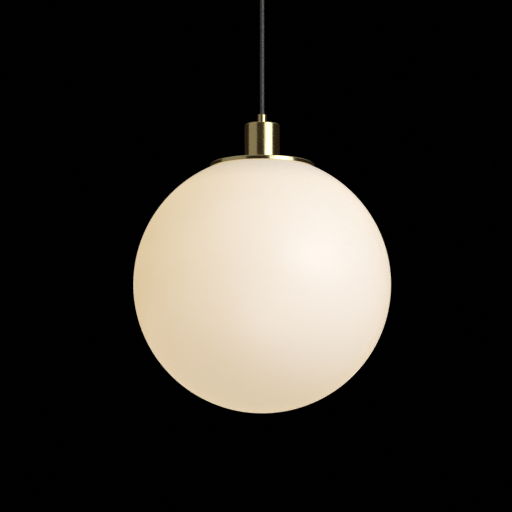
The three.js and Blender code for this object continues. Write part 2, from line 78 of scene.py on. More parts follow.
def openMesh(obj, kind="FACE"):
    pickUp(obj)
    bpy.ops.object.mode_set(mode="EDIT")
    bpy.ops.mesh.select_mode(type=kind)
    bpy.ops.mesh.select_all(action="DESELECT")


def closeMesh():
    bpy.ops.object.mode_set(mode="OBJECT")


def selectFaces(obj, test):
    mesh = bmesh.from_edit_mesh(obj.data)
    for face in mesh.faces:
        if test(face.calc_center_median(), face.normal):
            face.select_set(True)
    bmesh.update_edit_mesh(obj.data)


def useModifier(obj, kind, **settings):
    pickUp(obj)
    modifier = obj.modifiers.new(kind.lower(), kind)
    for name, value in settings.items():
        setattr(modifier, name, value)
    bpy.ops.object.modifier_apply(modifier=modifier.name)


def softenEdges(obj, width, segments=3, angle=30):
    useModifier(
        obj, "BEVEL", width=width, segments=segments, limit_method="ANGLE",
        angle_limit=math.radians(angle),
    )


def cutWith(obj, *cutters):
    for cutter in cutters:
        useModifier(obj, "BOOLEAN", operation="DIFFERENCE", solver="EXACT", object=cutter)
        bpy.data.objects.remove(cutter)


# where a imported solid's box has its middle
def middleOf(node):
    low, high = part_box(node)
    return (low + high) / 2


def applyPlace(obj):
    pickUp(obj)
    bpy.ops.object.transform_apply(location=True, rotation=True, scale=True)


def rod(name, radius, length, location, along="Z", sides=32):
    turn = {"X": (0, math.pi / 2, 0), "Y": (math.pi / 2, 0, 0), "Z": (0, 0, 0)}[along]
    deselectAll()
    bpy.ops.mesh.primitive_cylinder_add(
        vertices=sides, radius=radius, depth=length, location=location, rotation=turn,
    )
    obj = bpy.context.object
    obj.name = name
    applyPlace(obj)
    return obj


def slab(name, size, location):
    deselectAll()
    bpy.ops.mesh.primitive_cube_add(size=1, location=location, scale=size)
    obj = bpy.context.object
    obj.name = name
    applyPlace(obj)
    return obj


# a quarter round or any other arc in the outline of a turned piece, angles in degrees
def arc(radius, level, size, first, last, steps):
    points = []
    for i in range(steps + 1):
        angle = math.radians(first + (last - first) * i / steps)
        points.append((radius + size * math.cos(angle), level + size * math.sin(angle)))
    return points


# evenly spaced points on a straight stretch, for a surface that gets a thread
def stretch(first, last, steps):
    (r0, z0), (r1, z1) = first, last
    return [(r0 + (r1 - r0) * i / steps, z0 + (z1 - z0) * i / steps) for i in range(steps + 1)]


# draws the outline point by point from one vertex, then spins it round the Z axis
def lathe(name, outline, steps=96, closed=True):
    radius, level = outline[0]
    deselectAll()
    bpy.ops.mesh.primitive_plane_add(size=0.001, location=(radius, 0, level))
    obj = bpy.context.object
    obj.name = name
    bpy.ops.object.mode_set(mode="EDIT")
    bpy.ops.mesh.select_mode(type="VERT")
    bpy.ops.mesh.select_all(action="SELECT")
    bpy.ops.mesh.merge(type="CENTER")
    for (r0, z0), (r1, z1) in zip(outline, outline[1:]):
        bpy.ops.mesh.extrude_region_move(TRANSFORM_OT_translate={"value": (r1 - r0, 0, z1 - z0)})
    if closed:  # the last vertex is still selected, and the first one is at the object's own origin
        mesh = bmesh.from_edit_mesh(obj.data)
        min(mesh.verts, key=lambda vertex: vertex.co.length).select_set(True)
        bmesh.update_edit_mesh(obj.data)
        bpy.ops.mesh.edge_face_add()
    bpy.ops.mesh.select_all(action="SELECT")
    bpy.ops.mesh.spin(steps=steps, angle=2 * math.pi, center=(0, 0, 0), axis=(0, 0, 1))
    bpy.ops.mesh.select_all(action="SELECT")
    bpy.ops.mesh.remove_doubles(threshold=0.000001)
    bpy.ops.mesh.normals_make_consistent(inside=False)
    bpy.ops.object.mode_set(mode="OBJECT")
    applyPlace(obj)
    return obj


# a rolled thread: the wall moves in along a helix, or out if outwards is set, and fades at both ends
def rollThread(obj, lowest, highest, pitch, depth, fadeOver, wallFrom=0.001, outwards=False):
    side = 1 if outwards else -1
    for vertex in obj.data.vertices:
        x, y, z = vertex.co
        radius = math.hypot(x, y)
        fade = min(1, (z - lowest) / fadeOver, (highest - z) / fadeOver)
        if fade <= 0 or radius < wallFrom:
            continue
        wave = 0.5 + 0.5 * side * math.cos(2 * math.pi * z / pitch - math.atan2(y, x))
        scale = 1 + side * depth * fade * wave / radius
        vertex.co.x = x * scale
        vertex.co.y = y * scale


# a cut thread as plain rings, for small screws
def ringThread(radius, start, end, pitch, depth):
    count = max(2, round(abs(end - start) / pitch))
    points = []
    for i in range(count):
        level = start + (end - start) * i / count
        points.append((radius, level))
        points.append((radius - depth, level + (end - start) * 0.5 / count))
    points.append((radius, end))
    return points


# the outline of a plain ring, with one edge size at its outer foot and another all round
def ringOutline(inner, outer, low, high, edge, footEdge):
    return [
        (inner, low + edge), (inner + edge, low), (outer - footEdge, low), (outer, low + footEdge),
        (outer, high - edge), (outer - edge, high), (inner + edge, high), (inner, high - edge),
    ]


# pushes each picked face in by itself, for knurls and finger grooves
def pressFaces(obj, test, border, depth):
    openMesh(obj)
    selectFaces(obj, test)
    bpy.ops.mesh.inset(thickness=border, depth=-depth, use_individual=True)
    closeMesh()


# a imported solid's own shape, merged into clean faces and with its edges broken
def fineCopy(node, name, edge, segments=3, angle=30):
    obj = bpy.data.objects.new(name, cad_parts[node].data.copy())
    bpy.context.scene.collection.objects.link(obj)
    openMesh(obj, "VERT")
    bpy.ops.mesh.select_all(action="SELECT")
    bpy.ops.mesh.remove_doubles(threshold=0.00001)
    bpy.ops.mesh.dissolve_limited(angle_limit=math.radians(1))
    closeMesh()
    softenEdges(obj, edge, segments, angle)
    return obj


# a copy with its own mesh, moved and turned about the Z axis
def copyPiece(obj, name, move=(0, 0, 0), turn=0):
    pickUp(obj)
    bpy.ops.object.duplicate()
    other = bpy.context.object
    other.name = name
    other.rotation_euler.z = turn
    other.location = move
    applyPlace(other)
    return other


# a round wire along a smooth curve through the points
def tubeAlong(name, points, radius, around=6):
    data = bpy.data.curves.new(name, "CURVE")
    data.dimensions = "3D"
    data.resolution_u = 6
    data.bevel_depth = radius
    data.bevel_resolution = around
    data.use_fill_caps = True
    spline = data.splines.new("BEZIER")
    spline.bezier_points.add(len(points) - 1)
    for bezierPoint, point in zip(spline.bezier_points, points):
        bezierPoint.co = point
        bezierPoint.handle_left_type = "AUTO"
        bezierPoint.handle_right_type = "AUTO"
    obj = bpy.data.objects.new(name, data)
    bpy.context.scene.collection.objects.link(obj)
    pickUp(obj)
    bpy.ops.object.convert(target="MESH")
    obj = bpy.context.object
    openMesh(obj, "VERT")
    bpy.ops.mesh.select_all(action="SELECT")
    bpy.ops.mesh.remove_doubles(threshold=0.000001)
    bpy.ops.mesh.normals_make_consistent(inside=False)
    closeMesh()
    return obj


def dress(obj, material, nodes, angle=35):
    applyPlace(obj)
    bpy.ops.object.shade_smooth_by_angle(angle=math.radians(angle))
    obj.data.materials.clear()
    obj.data.materials.append(material)
    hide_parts(*nodes)
    return obj


def fit(obj, body, material, slotName, *nodes, angle=35):
    dress(obj, material, nodes, angle)
    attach(obj, body)
    return obj


cameraView = {
    "distance": 3.0,
    "belowGlobe": 0.454,
    "toSide": -0.0072,
    "pitch": 99.23,
    "lens": 182.9,
    "sensor": 36,
}
globeRadius = 0.15
globeCentre = globeLow.z + globeRadius
bpy.ops.object.camera_add(
    location=(cameraView["toSide"], -cameraView["distance"], globeCentre - cameraView["belowGlobe"]),
    rotation=(math.radians(cameraView["pitch"]), 0, 0),
)
camera = bpy.context.object
camera.data.lens = cameraView["lens"]
camera.data.sensor_width = cameraView["sensor"]
bpy.context.scene.camera = camera

# azimuth in degrees from the front, towards +X, and radiance as the brass mirrors it
softboxes = {
    "rightBox": {"azimuth": 43.5, "distance": 1.5, "width": 1.58, "height": 0.8, "level": 0.05,
                 "radiance": 1.9, "color": (0.70, 0.80, 1.0)},
    "rightBoxHeart": {"azimuth": 44.5, "distance": 1.45, "width": 0.86, "height": 0.7, "level": 0.05,
                      "radiance": 2.2, "color": (0.70, 0.80, 1.0)},
    "leftBox": {"azimuth": -66.5, "distance": 1.5, "width": 1.84, "height": 0.8, "level": 0.05,
                "radiance": 0.29, "color": (0.94, 0.98, 1.0)},
    "backBox": {"azimuth": 180, "distance": 1.9, "width": 1.2, "height": 0.6, "level": -0.35,
                "radiance": 1.1, "color": (0.95, 0.97, 1.0)},
    "lowFill": {"azimuth": 4, "distance": 1.6, "width": 1.0, "height": 1.0, "level": -1.75,
                "radiance": 2.0, "color": (0.80, 0.84, 1.0), "aim": globeCentre},
}
for name, box in softboxes.items():
    azimuth = math.radians(box["azimuth"])
    place = Vector((math.sin(azimuth), -math.cos(azimuth), 0)) * box["distance"]
    place.z = box["level"]
    towards = Vector((0, 0, box.get("aim", box["level"]))) - place
    turn = towards.to_track_quat("-Z", "Y").to_euler()
    bpy.ops.object.light_add(type="AREA", location=place, rotation=turn)
    lightObject = bpy.context.object
    lightObject.name = name
    light = lightObject.data
    light.shape = "RECTANGLE"
    light.size = box["width"]
    light.size_y = box["height"]
    light.energy = box["radiance"] * math.pi * box["width"] * box["height"]
    light.color = box["color"]
    lightObject.visible_camera = False

print("camera and lights placed")


# a shader node with its settings, and its sockets linked or set
def put(tree, kind, sockets, **settings):
    node = tree.nodes.new(kind)
    for name, value in settings.items():
        setattr(node, name, value)
    for name, value in sockets.items():
        if isinstance(value, bpy.types.NodeSocket):
            tree.links.new(value, node.inputs[name])
        else:
            node.inputs[name].default_value = value
    return node


# a node group that is given a vector and some numbers, and puts out numbers
def newGroup(name, numbers, outputs):
    group = bpy.data.node_groups.new(name, "ShaderNodeTree")
    group.interface.new_socket("Vector", in_out="INPUT", socket_type="NodeSocketVector")
    for label, value in numbers.items():
        socket = group.interface.new_socket(label, in_out="INPUT", socket_type="NodeSocketFloat")
        socket.default_value = value
    for label in outputs:
        group.interface.new_socket(label, in_out="OUTPUT", socket_type="NodeSocketFloat")
    return group, group.nodes.new("NodeGroupInput").outputs, group.nodes.new("NodeGroupOutput").inputs


# soft blotches: tarnish, handling marks and uneven colour
def makeCloud():
    group, given, result = newGroup("cloud", {"Scale": 20, "Contrast": 0.5}, ["Mask"])
    noise = put(group, "ShaderNodeTexNoise", {
        "Vector": given["Vector"], "Scale": given["Scale"],
        "Detail": 5.0, "Roughness": 0.6, "Distortion": 0.4,
    })
    half = put(group, "ShaderNodeMath", {0: given["Contrast"], 1: -0.25, 2: 0.5}, operation="MULTIPLY_ADD")
    far = put(group, "ShaderNodeMath", {0: 1.0, 1: half.outputs[0]}, operation="SUBTRACT")
    spread = put(group, "ShaderNodeMapRange", {
        "Value": noise.outputs[0], "From Min": half.outputs[0], "From Max": far.outputs[0],
    }, interpolation_type="SMOOTHSTEP")
    group.links.new(spread.outputs[0], result["Mask"])
    return group


# the lines a lathe or a polishing wheel leaves round the Z axis
def makeTurnedLines():
    group, given, result = newGroup("turnedLines", {"Lines": 2500, "Wander": 2}, ["Height", "Streak"])
    flat = put(group, "ShaderNodeVectorMath", {0: given["Vector"], 1: (1, 1, 0)}, operation="MULTIPLY")
    radius = put(group, "ShaderNodeVectorMath", {0: flat.outputs[0]}, operation="LENGTH")
    around = put(group, "ShaderNodeVectorMath", {0: flat.outputs[0]}, operation="NORMALIZE")
    parts = put(group, "ShaderNodeSeparateXYZ", {0: given["Vector"]})
    profile = put(group, "ShaderNodeCombineXYZ", {0: radius.outputs["Value"], 2: parts.outputs["Z"]})
    fine = put(group, "ShaderNodeVectorMath", {
        0: profile.outputs[0], "Scale": given["Lines"],
    }, operation="SCALE")
    drift = put(group, "ShaderNodeVectorMath", {
        0: around.outputs[0], "Scale": given["Wander"],
    }, operation="SCALE")
    total = put(group, "ShaderNodeVectorMath", {0: fine.outputs[0], 1: drift.outputs[0]}, operation="ADD")
    lines = put(group, "ShaderNodeTexNoise", {"Vector": total.outputs[0], "Scale": 1.0, "Detail": 2.0})
    broad = put(group, "ShaderNodeTexNoise", {"Vector": total.outputs[0], "Scale": 0.12, "Detail": 1.0})
    group.links.new(lines.outputs[0], result["Height"])
    group.links.new(broad.outputs[0], result["Streak"])
    return group


# the fine skin of moulded plastic, rubber and glaze
def makeMouldedGrain():
    group, given, result = newGroup("mouldedGrain", {"Scale": 1500}, ["Height"])
    pits = put(group, "ShaderNodeTexVoronoi", {"Vector": given["Vector"], "Scale": given["Scale"]})
    waves = put(group, "ShaderNodeTexNoise", {"Vector": given["Vector"], "Scale": 220.0, "Detail": 4.0})
    both = put(group, "ShaderNodeMath", {0: pits.outputs["Distance"], 1: waves.outputs[0]}, operation="ADD")
    group.links.new(both.outputs[0], result["Height"])
    return group


# bright rubbed edges, broken up so that they don't look drawn
def makeRubbedEdges():
    group, given, result = newGroup("rubbedEdges", {"Amount": 0.5}, ["Mask"])
    shape = put(group, "ShaderNodeNewGeometry", {})
    edge = put(group, "ShaderNodeMapRange", {
        "Value": shape.outputs["Pointiness"], "From Min": 0.52, "From Max": 0.6,
    })
    patches = put(group, "ShaderNodeTexNoise", {"Vector": given["Vector"], "Scale": 260.0, "Detail": 3.0})
    broken = put(group, "ShaderNodeMath", {0: edge.outputs[0], 1: patches.outputs[0]}, operation="MULTIPLY")
    scaled = put(group, "ShaderNodeMath", {0: broken.outputs[0], 1: given["Amount"]}, operation="MULTIPLY",
                 use_clamp=True)
    group.links.new(scaled.outputs[0], result["Mask"])
    return group


# dust that has settled on whatever faces up
def makeSettledDust():
    group, given, result = newGroup("settledDust", {"Amount": 0.3}, ["Mask"])
    shape = put(group, "ShaderNodeNewGeometry", {})
    parts = put(group, "ShaderNodeSeparateXYZ", {0: shape.outputs["Normal"]})
    facingUp = put(group, "ShaderNodeMapRange", {
        "Value": parts.outputs["Z"], "From Min": 0.55, "From Max": 1.0,
    }, interpolation_type="SMOOTHSTEP")
    specks = put(group, "ShaderNodeTexNoise", {
        "Vector": given["Vector"], "Scale": 340.0, "Detail": 6.0, "Roughness": 0.7,
    })
    sharp = put(group, "ShaderNodeMapRange", {
        "Value": specks.outputs[0], "From Min": 0.42, "From Max": 0.68,
    })
    both = put(group, "ShaderNodeMath", {0: facingUp.outputs[0], 1: sharp.outputs[0]}, operation="MULTIPLY")
    scaled = put(group, "ShaderNodeMath", {0: both.outputs[0], 1: given["Amount"]}, operation="MULTIPLY",
                 use_clamp=True)
    group.links.new(scaled.outputs[0], result["Mask"])
    return group


cloud = makeCloud()
turnedLines = makeTurnedLines()
mouldedGrain = makeMouldedGrain()
rubbedEdges = makeRubbedEdges()
settledDust = makeSettledDust()


# a blend of two colours, each a socket or three numbers
def mixColor(tree, factor, first, second):
    first, second = (color + (1,) if isinstance(color, tuple) else color for color in (first, second))
    mixed = put(tree, "ShaderNodeMix", {0: factor, 6: first, 7: second}, data_type="RGBA")
    return mixed.outputs[2]


# a new material with its node tree, its shader and the place on the piece
def newMaterial(name):
    material = bpy.data.materials.new(name)
    material.use_nodes = True
    tree = material.node_tree
    where = put(tree, "ShaderNodeTexCoord", {}).outputs["Object"]
    return material, tree, tree.nodes["Principled BSDF"], where


dustLook = {"color": (0.42, 0.39, 0.34), "roughening": 0.4}


# a plain finish: a colour that clouds over, rubbed edges, dust, and a grain that is turned or moulded
def makeFinish(name, look):
    material, tree, shader, where = newMaterial(name)
    blotches = put(tree, "ShaderNodeGroup", {
        "Vector": where, "Scale": look["cloudScale"], "Contrast": look["cloudContrast"],
    }, node_tree=cloud).outputs["Mask"]
    color = mixColor(tree, blotches, look["color"], look["cloudColor"])
    roughness = put(tree, "ShaderNodeMapRange", {
        "Value": blotches, "To Min": look["roughness"], "To Max": look["roughnessClouded"],
    }).outputs[0]

    if look["grain"] == "turned":
        lines = put(tree, "ShaderNodeGroup", {
            "Vector": where, "Lines": look["grainScale"], "Wander": look["grainWander"],
        }, node_tree=turnedLines)
        height = lines.outputs["Height"]
        roughness = put(tree, "ShaderNodeMath", {
            0: lines.outputs["Streak"], 1: look["streak"], 2: roughness,
        }, operation="MULTIPLY_ADD").outputs[0]
    else:
        height = put(tree, "ShaderNodeGroup", {
            "Vector": where, "Scale": look["grainScale"],
        }, node_tree=mouldedGrain).outputs["Height"]
    bump = put(tree, "ShaderNodeBump", {
        "Strength": look["bumpStrength"], "Distance": look["bumpDepth"], "Height": height,
    })

    worn = put(tree, "ShaderNodeGroup", {
        "Vector": where, "Amount": look["wear"],
    }, node_tree=rubbedEdges).outputs["Mask"]
    color = mixColor(tree, worn, color, look["wearColor"])
    dusty = put(tree, "ShaderNodeGroup", {
        "Vector": where, "Amount": look["dust"],
    }, node_tree=settledDust).outputs["Mask"]
    color = mixColor(tree, dusty, color, dustLook["color"])
    roughness = put(tree, "ShaderNodeMath", {
        0: dusty, 1: dustLook["roughening"], 2: roughness,
    }, operation="MULTIPLY_ADD", use_clamp=True).outputs[0]

    tree.links.new(color, shader.inputs["Base Color"])
    tree.links.new(roughness, shader.inputs["Roughness"])
    tree.links.new(bump.outputs["Normal"], shader.inputs["Normal"])
    shader.inputs["Metallic"].default_value = look["metallic"]
    shader.inputs["IOR"].default_value = look.get("ior", 1.5)
    shader.inputs["Specular Tint"].default_value = look.get("specularTint", (1, 1, 1)) + (1,)
    shader.inputs["Coat Weight"].default_value = look.get("coat", 0)
    shader.inputs["Coat Roughness"].default_value = look.get("coatRoughness", 0.1)
    return material


brass = makeFinish("brass", {
    "color": (0.80, 0.635, 0.285), "cloudColor": (0.74, 0.57, 0.24), "wearColor": (0.93, 0.80, 0.47),
    "metallic": 1.0, "roughness": 0.12, "roughnessClouded": 0.17, "streak": 0.08,
    "cloudScale": 26, "cloudContrast": 0.5, "wear": 0.7, "dust": 0.12,
    "grain": "turned", "grainScale": 3600, "grainWander": 1.6, "bumpStrength": 0.03, "bumpDepth": 0.00001,
})
smallBrass = makeFinish("smallBrass", {
    "color": (0.78, 0.60, 0.25), "cloudColor": (0.60, 0.42, 0.15), "wearColor": (0.92, 0.79, 0.46),
    "metallic": 1.0, "roughness": 0.2, "roughnessClouded": 0.36, "streak": 0.1,
    "cloudScale": 160, "cloudContrast": 0.6, "wear": 1.0, "dust": 0.1,
    "grain": "turned", "grainScale": 6000, "grainWander": 3, "bumpStrength": 0.15, "bumpDepth": 0.00002,
})
zincSteel = makeFinish("zincSteel", {
    "color": (0.60, 0.61, 0.60), "cloudColor": (0.46, 0.48, 0.52), "wearColor": (0.80, 0.80, 0.78),
    "metallic": 1.0, "roughness": 0.28, "roughnessClouded": 0.48,
    "cloudScale": 240, "cloudContrast": 0.7, "wear": 0.8, "dust": 0.2,
    "grain": "moulded", "grainScale": 900, "bumpStrength": 0.12, "bumpDepth": 0.00003,
})
springSteel = makeFinish("springSteel", {
    "color": (0.50, 0.51, 0.53), "cloudColor": (0.36, 0.35, 0.35), "wearColor": (0.78, 0.78, 0.78),
    "metallic": 1.0, "roughness": 0.22, "roughnessClouded": 0.34,
    "cloudScale": 130, "cloudContrast": 0.5, "wear": 0.9, "dust": 0.1,
    "grain": "moulded", "grainScale": 1800, "bumpStrength": 0.08, "bumpDepth": 0.00002,
})
lampMetal = makeFinish("lampMetal", {
    "color": (0.66, 0.65, 0.63), "cloudColor": (0.55, 0.54, 0.52), "wearColor": (0.84, 0.83, 0.80),
    "metallic": 1.0, "roughness": 0.24, "roughnessClouded": 0.4, "streak": 0.1,
    "cloudScale": 110, "cloudContrast": 0.6, "wear": 0.8, "dust": 0.05,
    "grain": "turned", "grainScale": 4200, "grainWander": 2, "bumpStrength": 0.12, "bumpDepth": 0.00002,
})
blackPlastic = makeFinish("blackPlastic", {
    "color": (0.018, 0.018, 0.019), "cloudColor": (0.028, 0.027, 0.027), "wearColor": (0.10, 0.10, 0.10),
    "metallic": 0.0, "roughness": 0.34, "roughnessClouded": 0.5,
    "cloudScale": 60, "cloudContrast": 0.5, "wear": 0.5, "dust": 0.25,
    "grain": "moulded", "grainScale": 2600, "bumpStrength": 0.25, "bumpDepth": 0.00004,
})
whitePlastic = makeFinish("whitePlastic", {
    "color": (0.80, 0.79, 0.76), "cloudColor": (0.73, 0.71, 0.65), "wearColor": (0.88, 0.88, 0.86),
    "metallic": 0.0, "roughness": 0.36, "roughnessClouded": 0.5,
    "cloudScale": 45, "cloudContrast": 0.5, "wear": 0.4, "dust": 0.2,
    "grain": "moulded", "grainScale": 2400, "bumpStrength": 0.2, "bumpDepth": 0.00004,
})
porcelain = makeFinish("porcelain", {
    "color": (0.86, 0.84, 0.79), "cloudColor": (0.80, 0.77, 0.70), "wearColor": (0.92, 0.91, 0.88),
    "metallic": 0.0, "roughness": 0.18, "roughnessClouded": 0.28, "coat": 0.5, "coatRoughness": 0.08,
    "cloudScale": 80, "cloudContrast": 0.4, "wear": 0.3, "dust": 0.2,
    "grain": "moulded", "grainScale": 700, "bumpStrength": 0.15, "bumpDepth": 0.00005,
})
silicone = makeFinish("silicone", {
    "color": (0.70, 0.68, 0.62), "cloudColor": (0.62, 0.59, 0.52), "wearColor": (0.76, 0.74, 0.70),
    "metallic": 0.0, "roughness": 0.6, "roughnessClouded": 0.72, "ior": 1.41,
    "cloudScale": 50, "cloudContrast": 0.5, "wear": 0.2, "dust": 0.3,
    "grain": "moulded", "grainScale": 1900, "bumpStrength": 0.2, "bumpDepth": 0.00005,
})
boardWhite = makeFinish("boardWhite", {
    "color": (0.74, 0.75, 0.72), "cloudColor": (0.66, 0.68, 0.66), "wearColor": (0.80, 0.62, 0.40),
    "metallic": 0.0, "roughness": 0.4, "roughnessClouded": 0.5,
    "cloudScale": 90, "cloudContrast": 0.4, "wear": 0.5, "dust": 0.05,
    "grain": "moulded", "grainScale": 3000, "bumpStrength": 0.1, "bumpDepth": 0.00003,
})
chipPhosphor = makeFinish("chipPhosphor", {
    "color": (0.85, 0.62, 0.10), "cloudColor": (0.80, 0.54, 0.06), "wearColor": (0.90, 0.72, 0.25),
    "metallic": 0.0, "roughness": 0.3, "roughnessClouded": 0.4,
    "cloudScale": 400, "cloudContrast": 0.4, "wear": 0.2, "dust": 0.0,
    "grain": "moulded", "grainScale": 5000, "bumpStrength": 0.1, "bumpDepth": 0.00002,
})
coreLook = {
    "metallic": 0.0, "roughness": 0.36, "roughnessClouded": 0.5,
    "cloudScale": 180, "cloudContrast": 0.5, "wear": 0.3, "dust": 0.1,
    "grain": "moulded", "grainScale": 3200, "bumpStrength": 0.15, "bumpDepth": 0.00003,
}
liveCoreSkin = makeFinish("liveCoreSkin", {
    "color": (0.16, 0.055, 0.022), "cloudColor": (0.12, 0.040, 0.017), "wearColor": (0.24, 0.10, 0.05),
    **coreLook,
})
neutralCoreSkin = makeFinish("neutralCoreSkin", {
    "color": (0.025, 0.12, 0.38), "cloudColor": (0.02, 0.09, 0.30), "wearColor": (0.08, 0.20, 0.48),
    **coreLook,
})
cordSheath = makeFinish("cordSheath", {
    "color": (0.112, 0.099, 0.083), "cloudColor": (0.101, 0.089, 0.075), "wearColor": (0.18, 0.16, 0.14),
    "metallic": 0.0, "roughness": 0.22, "roughnessClouded": 0.25,
    "ior": 1.54, "specularTint": (1.0, 0.90, 0.76),
    "cloudScale": 140, "cloudContrast": 0.3, "wear": 0.2, "dust": 0.05,
    "grain": "moulded", "grainScale": 2800, "bumpStrength": 0.02, "bumpDepth": 0.00001,
})

opalLook = {
    "color": (0.70, 0.80, 0.91),
    "warmGlow": (0.735, 0.550, 0.298),
    "paleGlow": (0.742, 0.565, 0.314),
    "glow": 0.888,
    "paintedFootShade": 0.91,     # painted shade at the foot of the globe: the glow there, as a share of the glow at its middle
    "paintedNeckShade": 0.77,       # and beside the plate, painted shade where the plate shades the glass
    "neckDepth": 0.034,
    "evenAbove": 0.03,     # the glow is even from this far above the globe's centre
    "waviness": 14,
    "hazeContrast": 0.2,
    "hazeShade": 0.97,
    "roughness": 0.42,
    "hazeRoughness": 0.06,
    "grainScale": 1600,
    "bumpStrength": 0.06,
    "bumpDepth": 0.00003,
}


# opal glass, lit from inside: a warm glow under a satin skin, with painted shade that dims the glow at the
# foot and beside the plate
def makeOpalGlass(look):
    material, tree, shader, where = newMaterial("opalGlass")
    haze = put(tree, "ShaderNodeGroup", {
        "Vector": where, "Scale": look["waviness"], "Contrast": look["hazeContrast"],
    }, node_tree=cloud).outputs["Mask"]
    glow = mixColor(tree, haze, look["warmGlow"], look["paleGlow"])
    level = put(tree, "ShaderNodeSeparateXYZ", {0: where}).outputs["Z"]
    # painted shade: the glow is dimmed towards the foot of the globe and beside the plate
    lower = put(tree, "ShaderNodeMapRange", {
        "Value": level, "From Min": globeLow.z, "From Max": globeCentre + look["evenAbove"],
        "To Min": look["paintedFootShade"],
    }, interpolation_type="SMOOTHSTEP").outputs[0]
    upper = put(tree, "ShaderNodeMapRange", {
        "Value": level, "From Min": globeHigh.z, "From Max": globeHigh.z - look["neckDepth"],
        "To Min": look["paintedNeckShade"],
    }, interpolation_type="SMOOTHSTEP").outputs[0]
    paintedShadeFalloff = put(tree, "ShaderNodeMath", {0: lower, 1: upper}, operation="MULTIPLY").outputs[0]
    glow = put(tree, "ShaderNodeVectorMath", {0: glow, "Scale": paintedShadeFalloff}, operation="SCALE").outputs[0]
    shaded = tuple(look["hazeShade"] * part for part in look["color"])
    skin = mixColor(tree, haze, look["color"], shaded)
    satin = put(tree, "ShaderNodeMapRange", {
        "Value": haze, "To Min": look["roughness"], "To Max": look["roughness"] + look["hazeRoughness"],
    }).outputs[0]
    grain = put(tree, "ShaderNodeGroup", {
        "Vector": where, "Scale": look["grainScale"],
    }, node_tree=mouldedGrain)
    bump = put(tree, "ShaderNodeBump", {
        "Strength": look["bumpStrength"], "Distance": look["bumpDepth"], "Height": grain.outputs["Height"],
    })
    tree.links.new(skin, shader.inputs["Base Color"])
    tree.links.new(glow, shader.inputs["Emission Color"])
    tree.links.new(satin, shader.inputs["Roughness"])
    tree.links.new(bump.outputs["Normal"], shader.inputs["Normal"])
    shader.inputs["Emission Strength"].default_value = look["glow"]
    return material


opalGlass = makeOpalGlass(opalLook)

diffuserLook = {
    "color": (0.88, 0.86, 0.80), "roughness": 0.45,
    "glow": (0.95, 0.82, 0.62), "edgeGlow": (0.90, 0.66, 0.38), "strength": 0.95,
    "rimHeight": 0.02,
    "grainScale": 2200, "bumpStrength": 0.1, "bumpDepth": 0.00004,
}


# the lamp's own dome: brightest over its chips, dimmer towards its rim
def makeDiffuser(look):
    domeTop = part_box("lamp_dome")[1].z
    material, tree, shader, where = newMaterial("lampDiffuser")
    level = put(tree, "ShaderNodeSeparateXYZ", {0: where}).outputs["Z"]
    rim = put(tree, "ShaderNodeMapRange", {
        "Value": level, "From Min": domeTop - look["rimHeight"], "From Max": domeTop,
    }, interpolation_type="SMOOTHSTEP").outputs[0]
    glow = mixColor(tree, rim, look["glow"], look["edgeGlow"])
    grain = put(tree, "ShaderNodeGroup", {
        "Vector": where, "Scale": look["grainScale"],
    }, node_tree=mouldedGrain)
    bump = put(tree, "ShaderNodeBump", {
        "Strength": look["bumpStrength"], "Distance": look["bumpDepth"], "Height": grain.outputs["Height"],
    })
    tree.links.new(glow, shader.inputs["Emission Color"])
    tree.links.new(bump.outputs["Normal"], shader.inputs["Normal"])
    shader.inputs["Base Color"].default_value = look["color"] + (1,)
    shader.inputs["Roughness"].default_value = look["roughness"]
    shader.inputs["Emission Strength"].default_value = look["strength"]
    return material


lampDiffuser = makeDiffuser(diffuserLook)
print("finishes made:", len(bpy.data.materials))

floorLook = {
    "level": -5.0, "size": 134.0, "glow": 0.55,
    "color": (0.74, 0.74, 0.73), "shade": (0.73, 0.73, 0.72),
    "patchScale": 2, "patchContrast": 0.2, "roughness": 0.8,
}


def makeFloor():
    deselectAll()
    bpy.ops.mesh.primitive_plane_add(size=floorLook["size"], location=(0, 0, floorLook["level"]))
    floor = bpy.context.object
    floor.name = "studioFloor"
    material, tree, shader, where = newMaterial("paleFloor")
    patches = put(tree, "ShaderNodeGroup", {
        "Vector": where, "Scale": floorLook["patchScale"], "Contrast": floorLook["patchContrast"],
    }, node_tree=cloud).outputs["Mask"]
    color = mixColor(tree, patches, floorLook["color"], floorLook["shade"])
    tree.links.new(color, shader.inputs["Base Color"])
    tree.links.new(color, shader.inputs["Emission Color"])  # stands for the room light that falls on it
    shader.inputs["Emission Strength"].default_value = floorLook["glow"]
    shader.inputs["Roughness"].default_value = floorLook["roughness"]
    floor.visible_diffuse = False  # it shows in the brass, but doesn't brighten the globe from below
    floor.data.materials.append(material)


makeFloor()

# a dark room: black behind the lamp, a little grey for the metal to mirror, and a paler ceiling
room = {
    "seen": (0.0001, 0.0001, 0.0001), "walls": (0.025, 0.0175, 0.0150), "ceiling": (0.16, 0.16, 0.165),
    "mirroredCeiling": (0.46, 0.46, 0.47),  # what shiny surfaces find above them
    "ceilingFrom": 0.29, "ceilingFull": 0.66,
}
world = bpy.data.worlds.new("darkRoom")
bpy.context.scene.world = world
world.use_nodes = True
worldTree = world.node_tree
rays = put(worldTree, "ShaderNodeLightPath", {})
direction = put(worldTree, "ShaderNodeTexCoord", {}).outputs["Generated"]
upward = put(worldTree, "ShaderNodeMapRange", {
    "Value": put(worldTree, "ShaderNodeSeparateXYZ", {0: direction}).outputs["Z"],
    "From Min": room["ceilingFrom"], "From Max": room["ceilingFull"],
}, interpolation_type="SMOOTHSTEP").outputs[0]
ceiling = mixColor(worldTree, rays.outputs["Is Glossy Ray"], room["ceiling"], room["mirroredCeiling"])
roomLight = mixColor(worldTree, upward, room["walls"], ceiling)
roomColor = mixColor(worldTree, rays.outputs["Is Camera Ray"], roomLight, room["seen"])
worldTree.links.new(roomColor, worldTree.nodes["Background"].inputs["Color"])
bpy.context.scene.view_settings.view_transform = "Standard"
print("floor and room made")


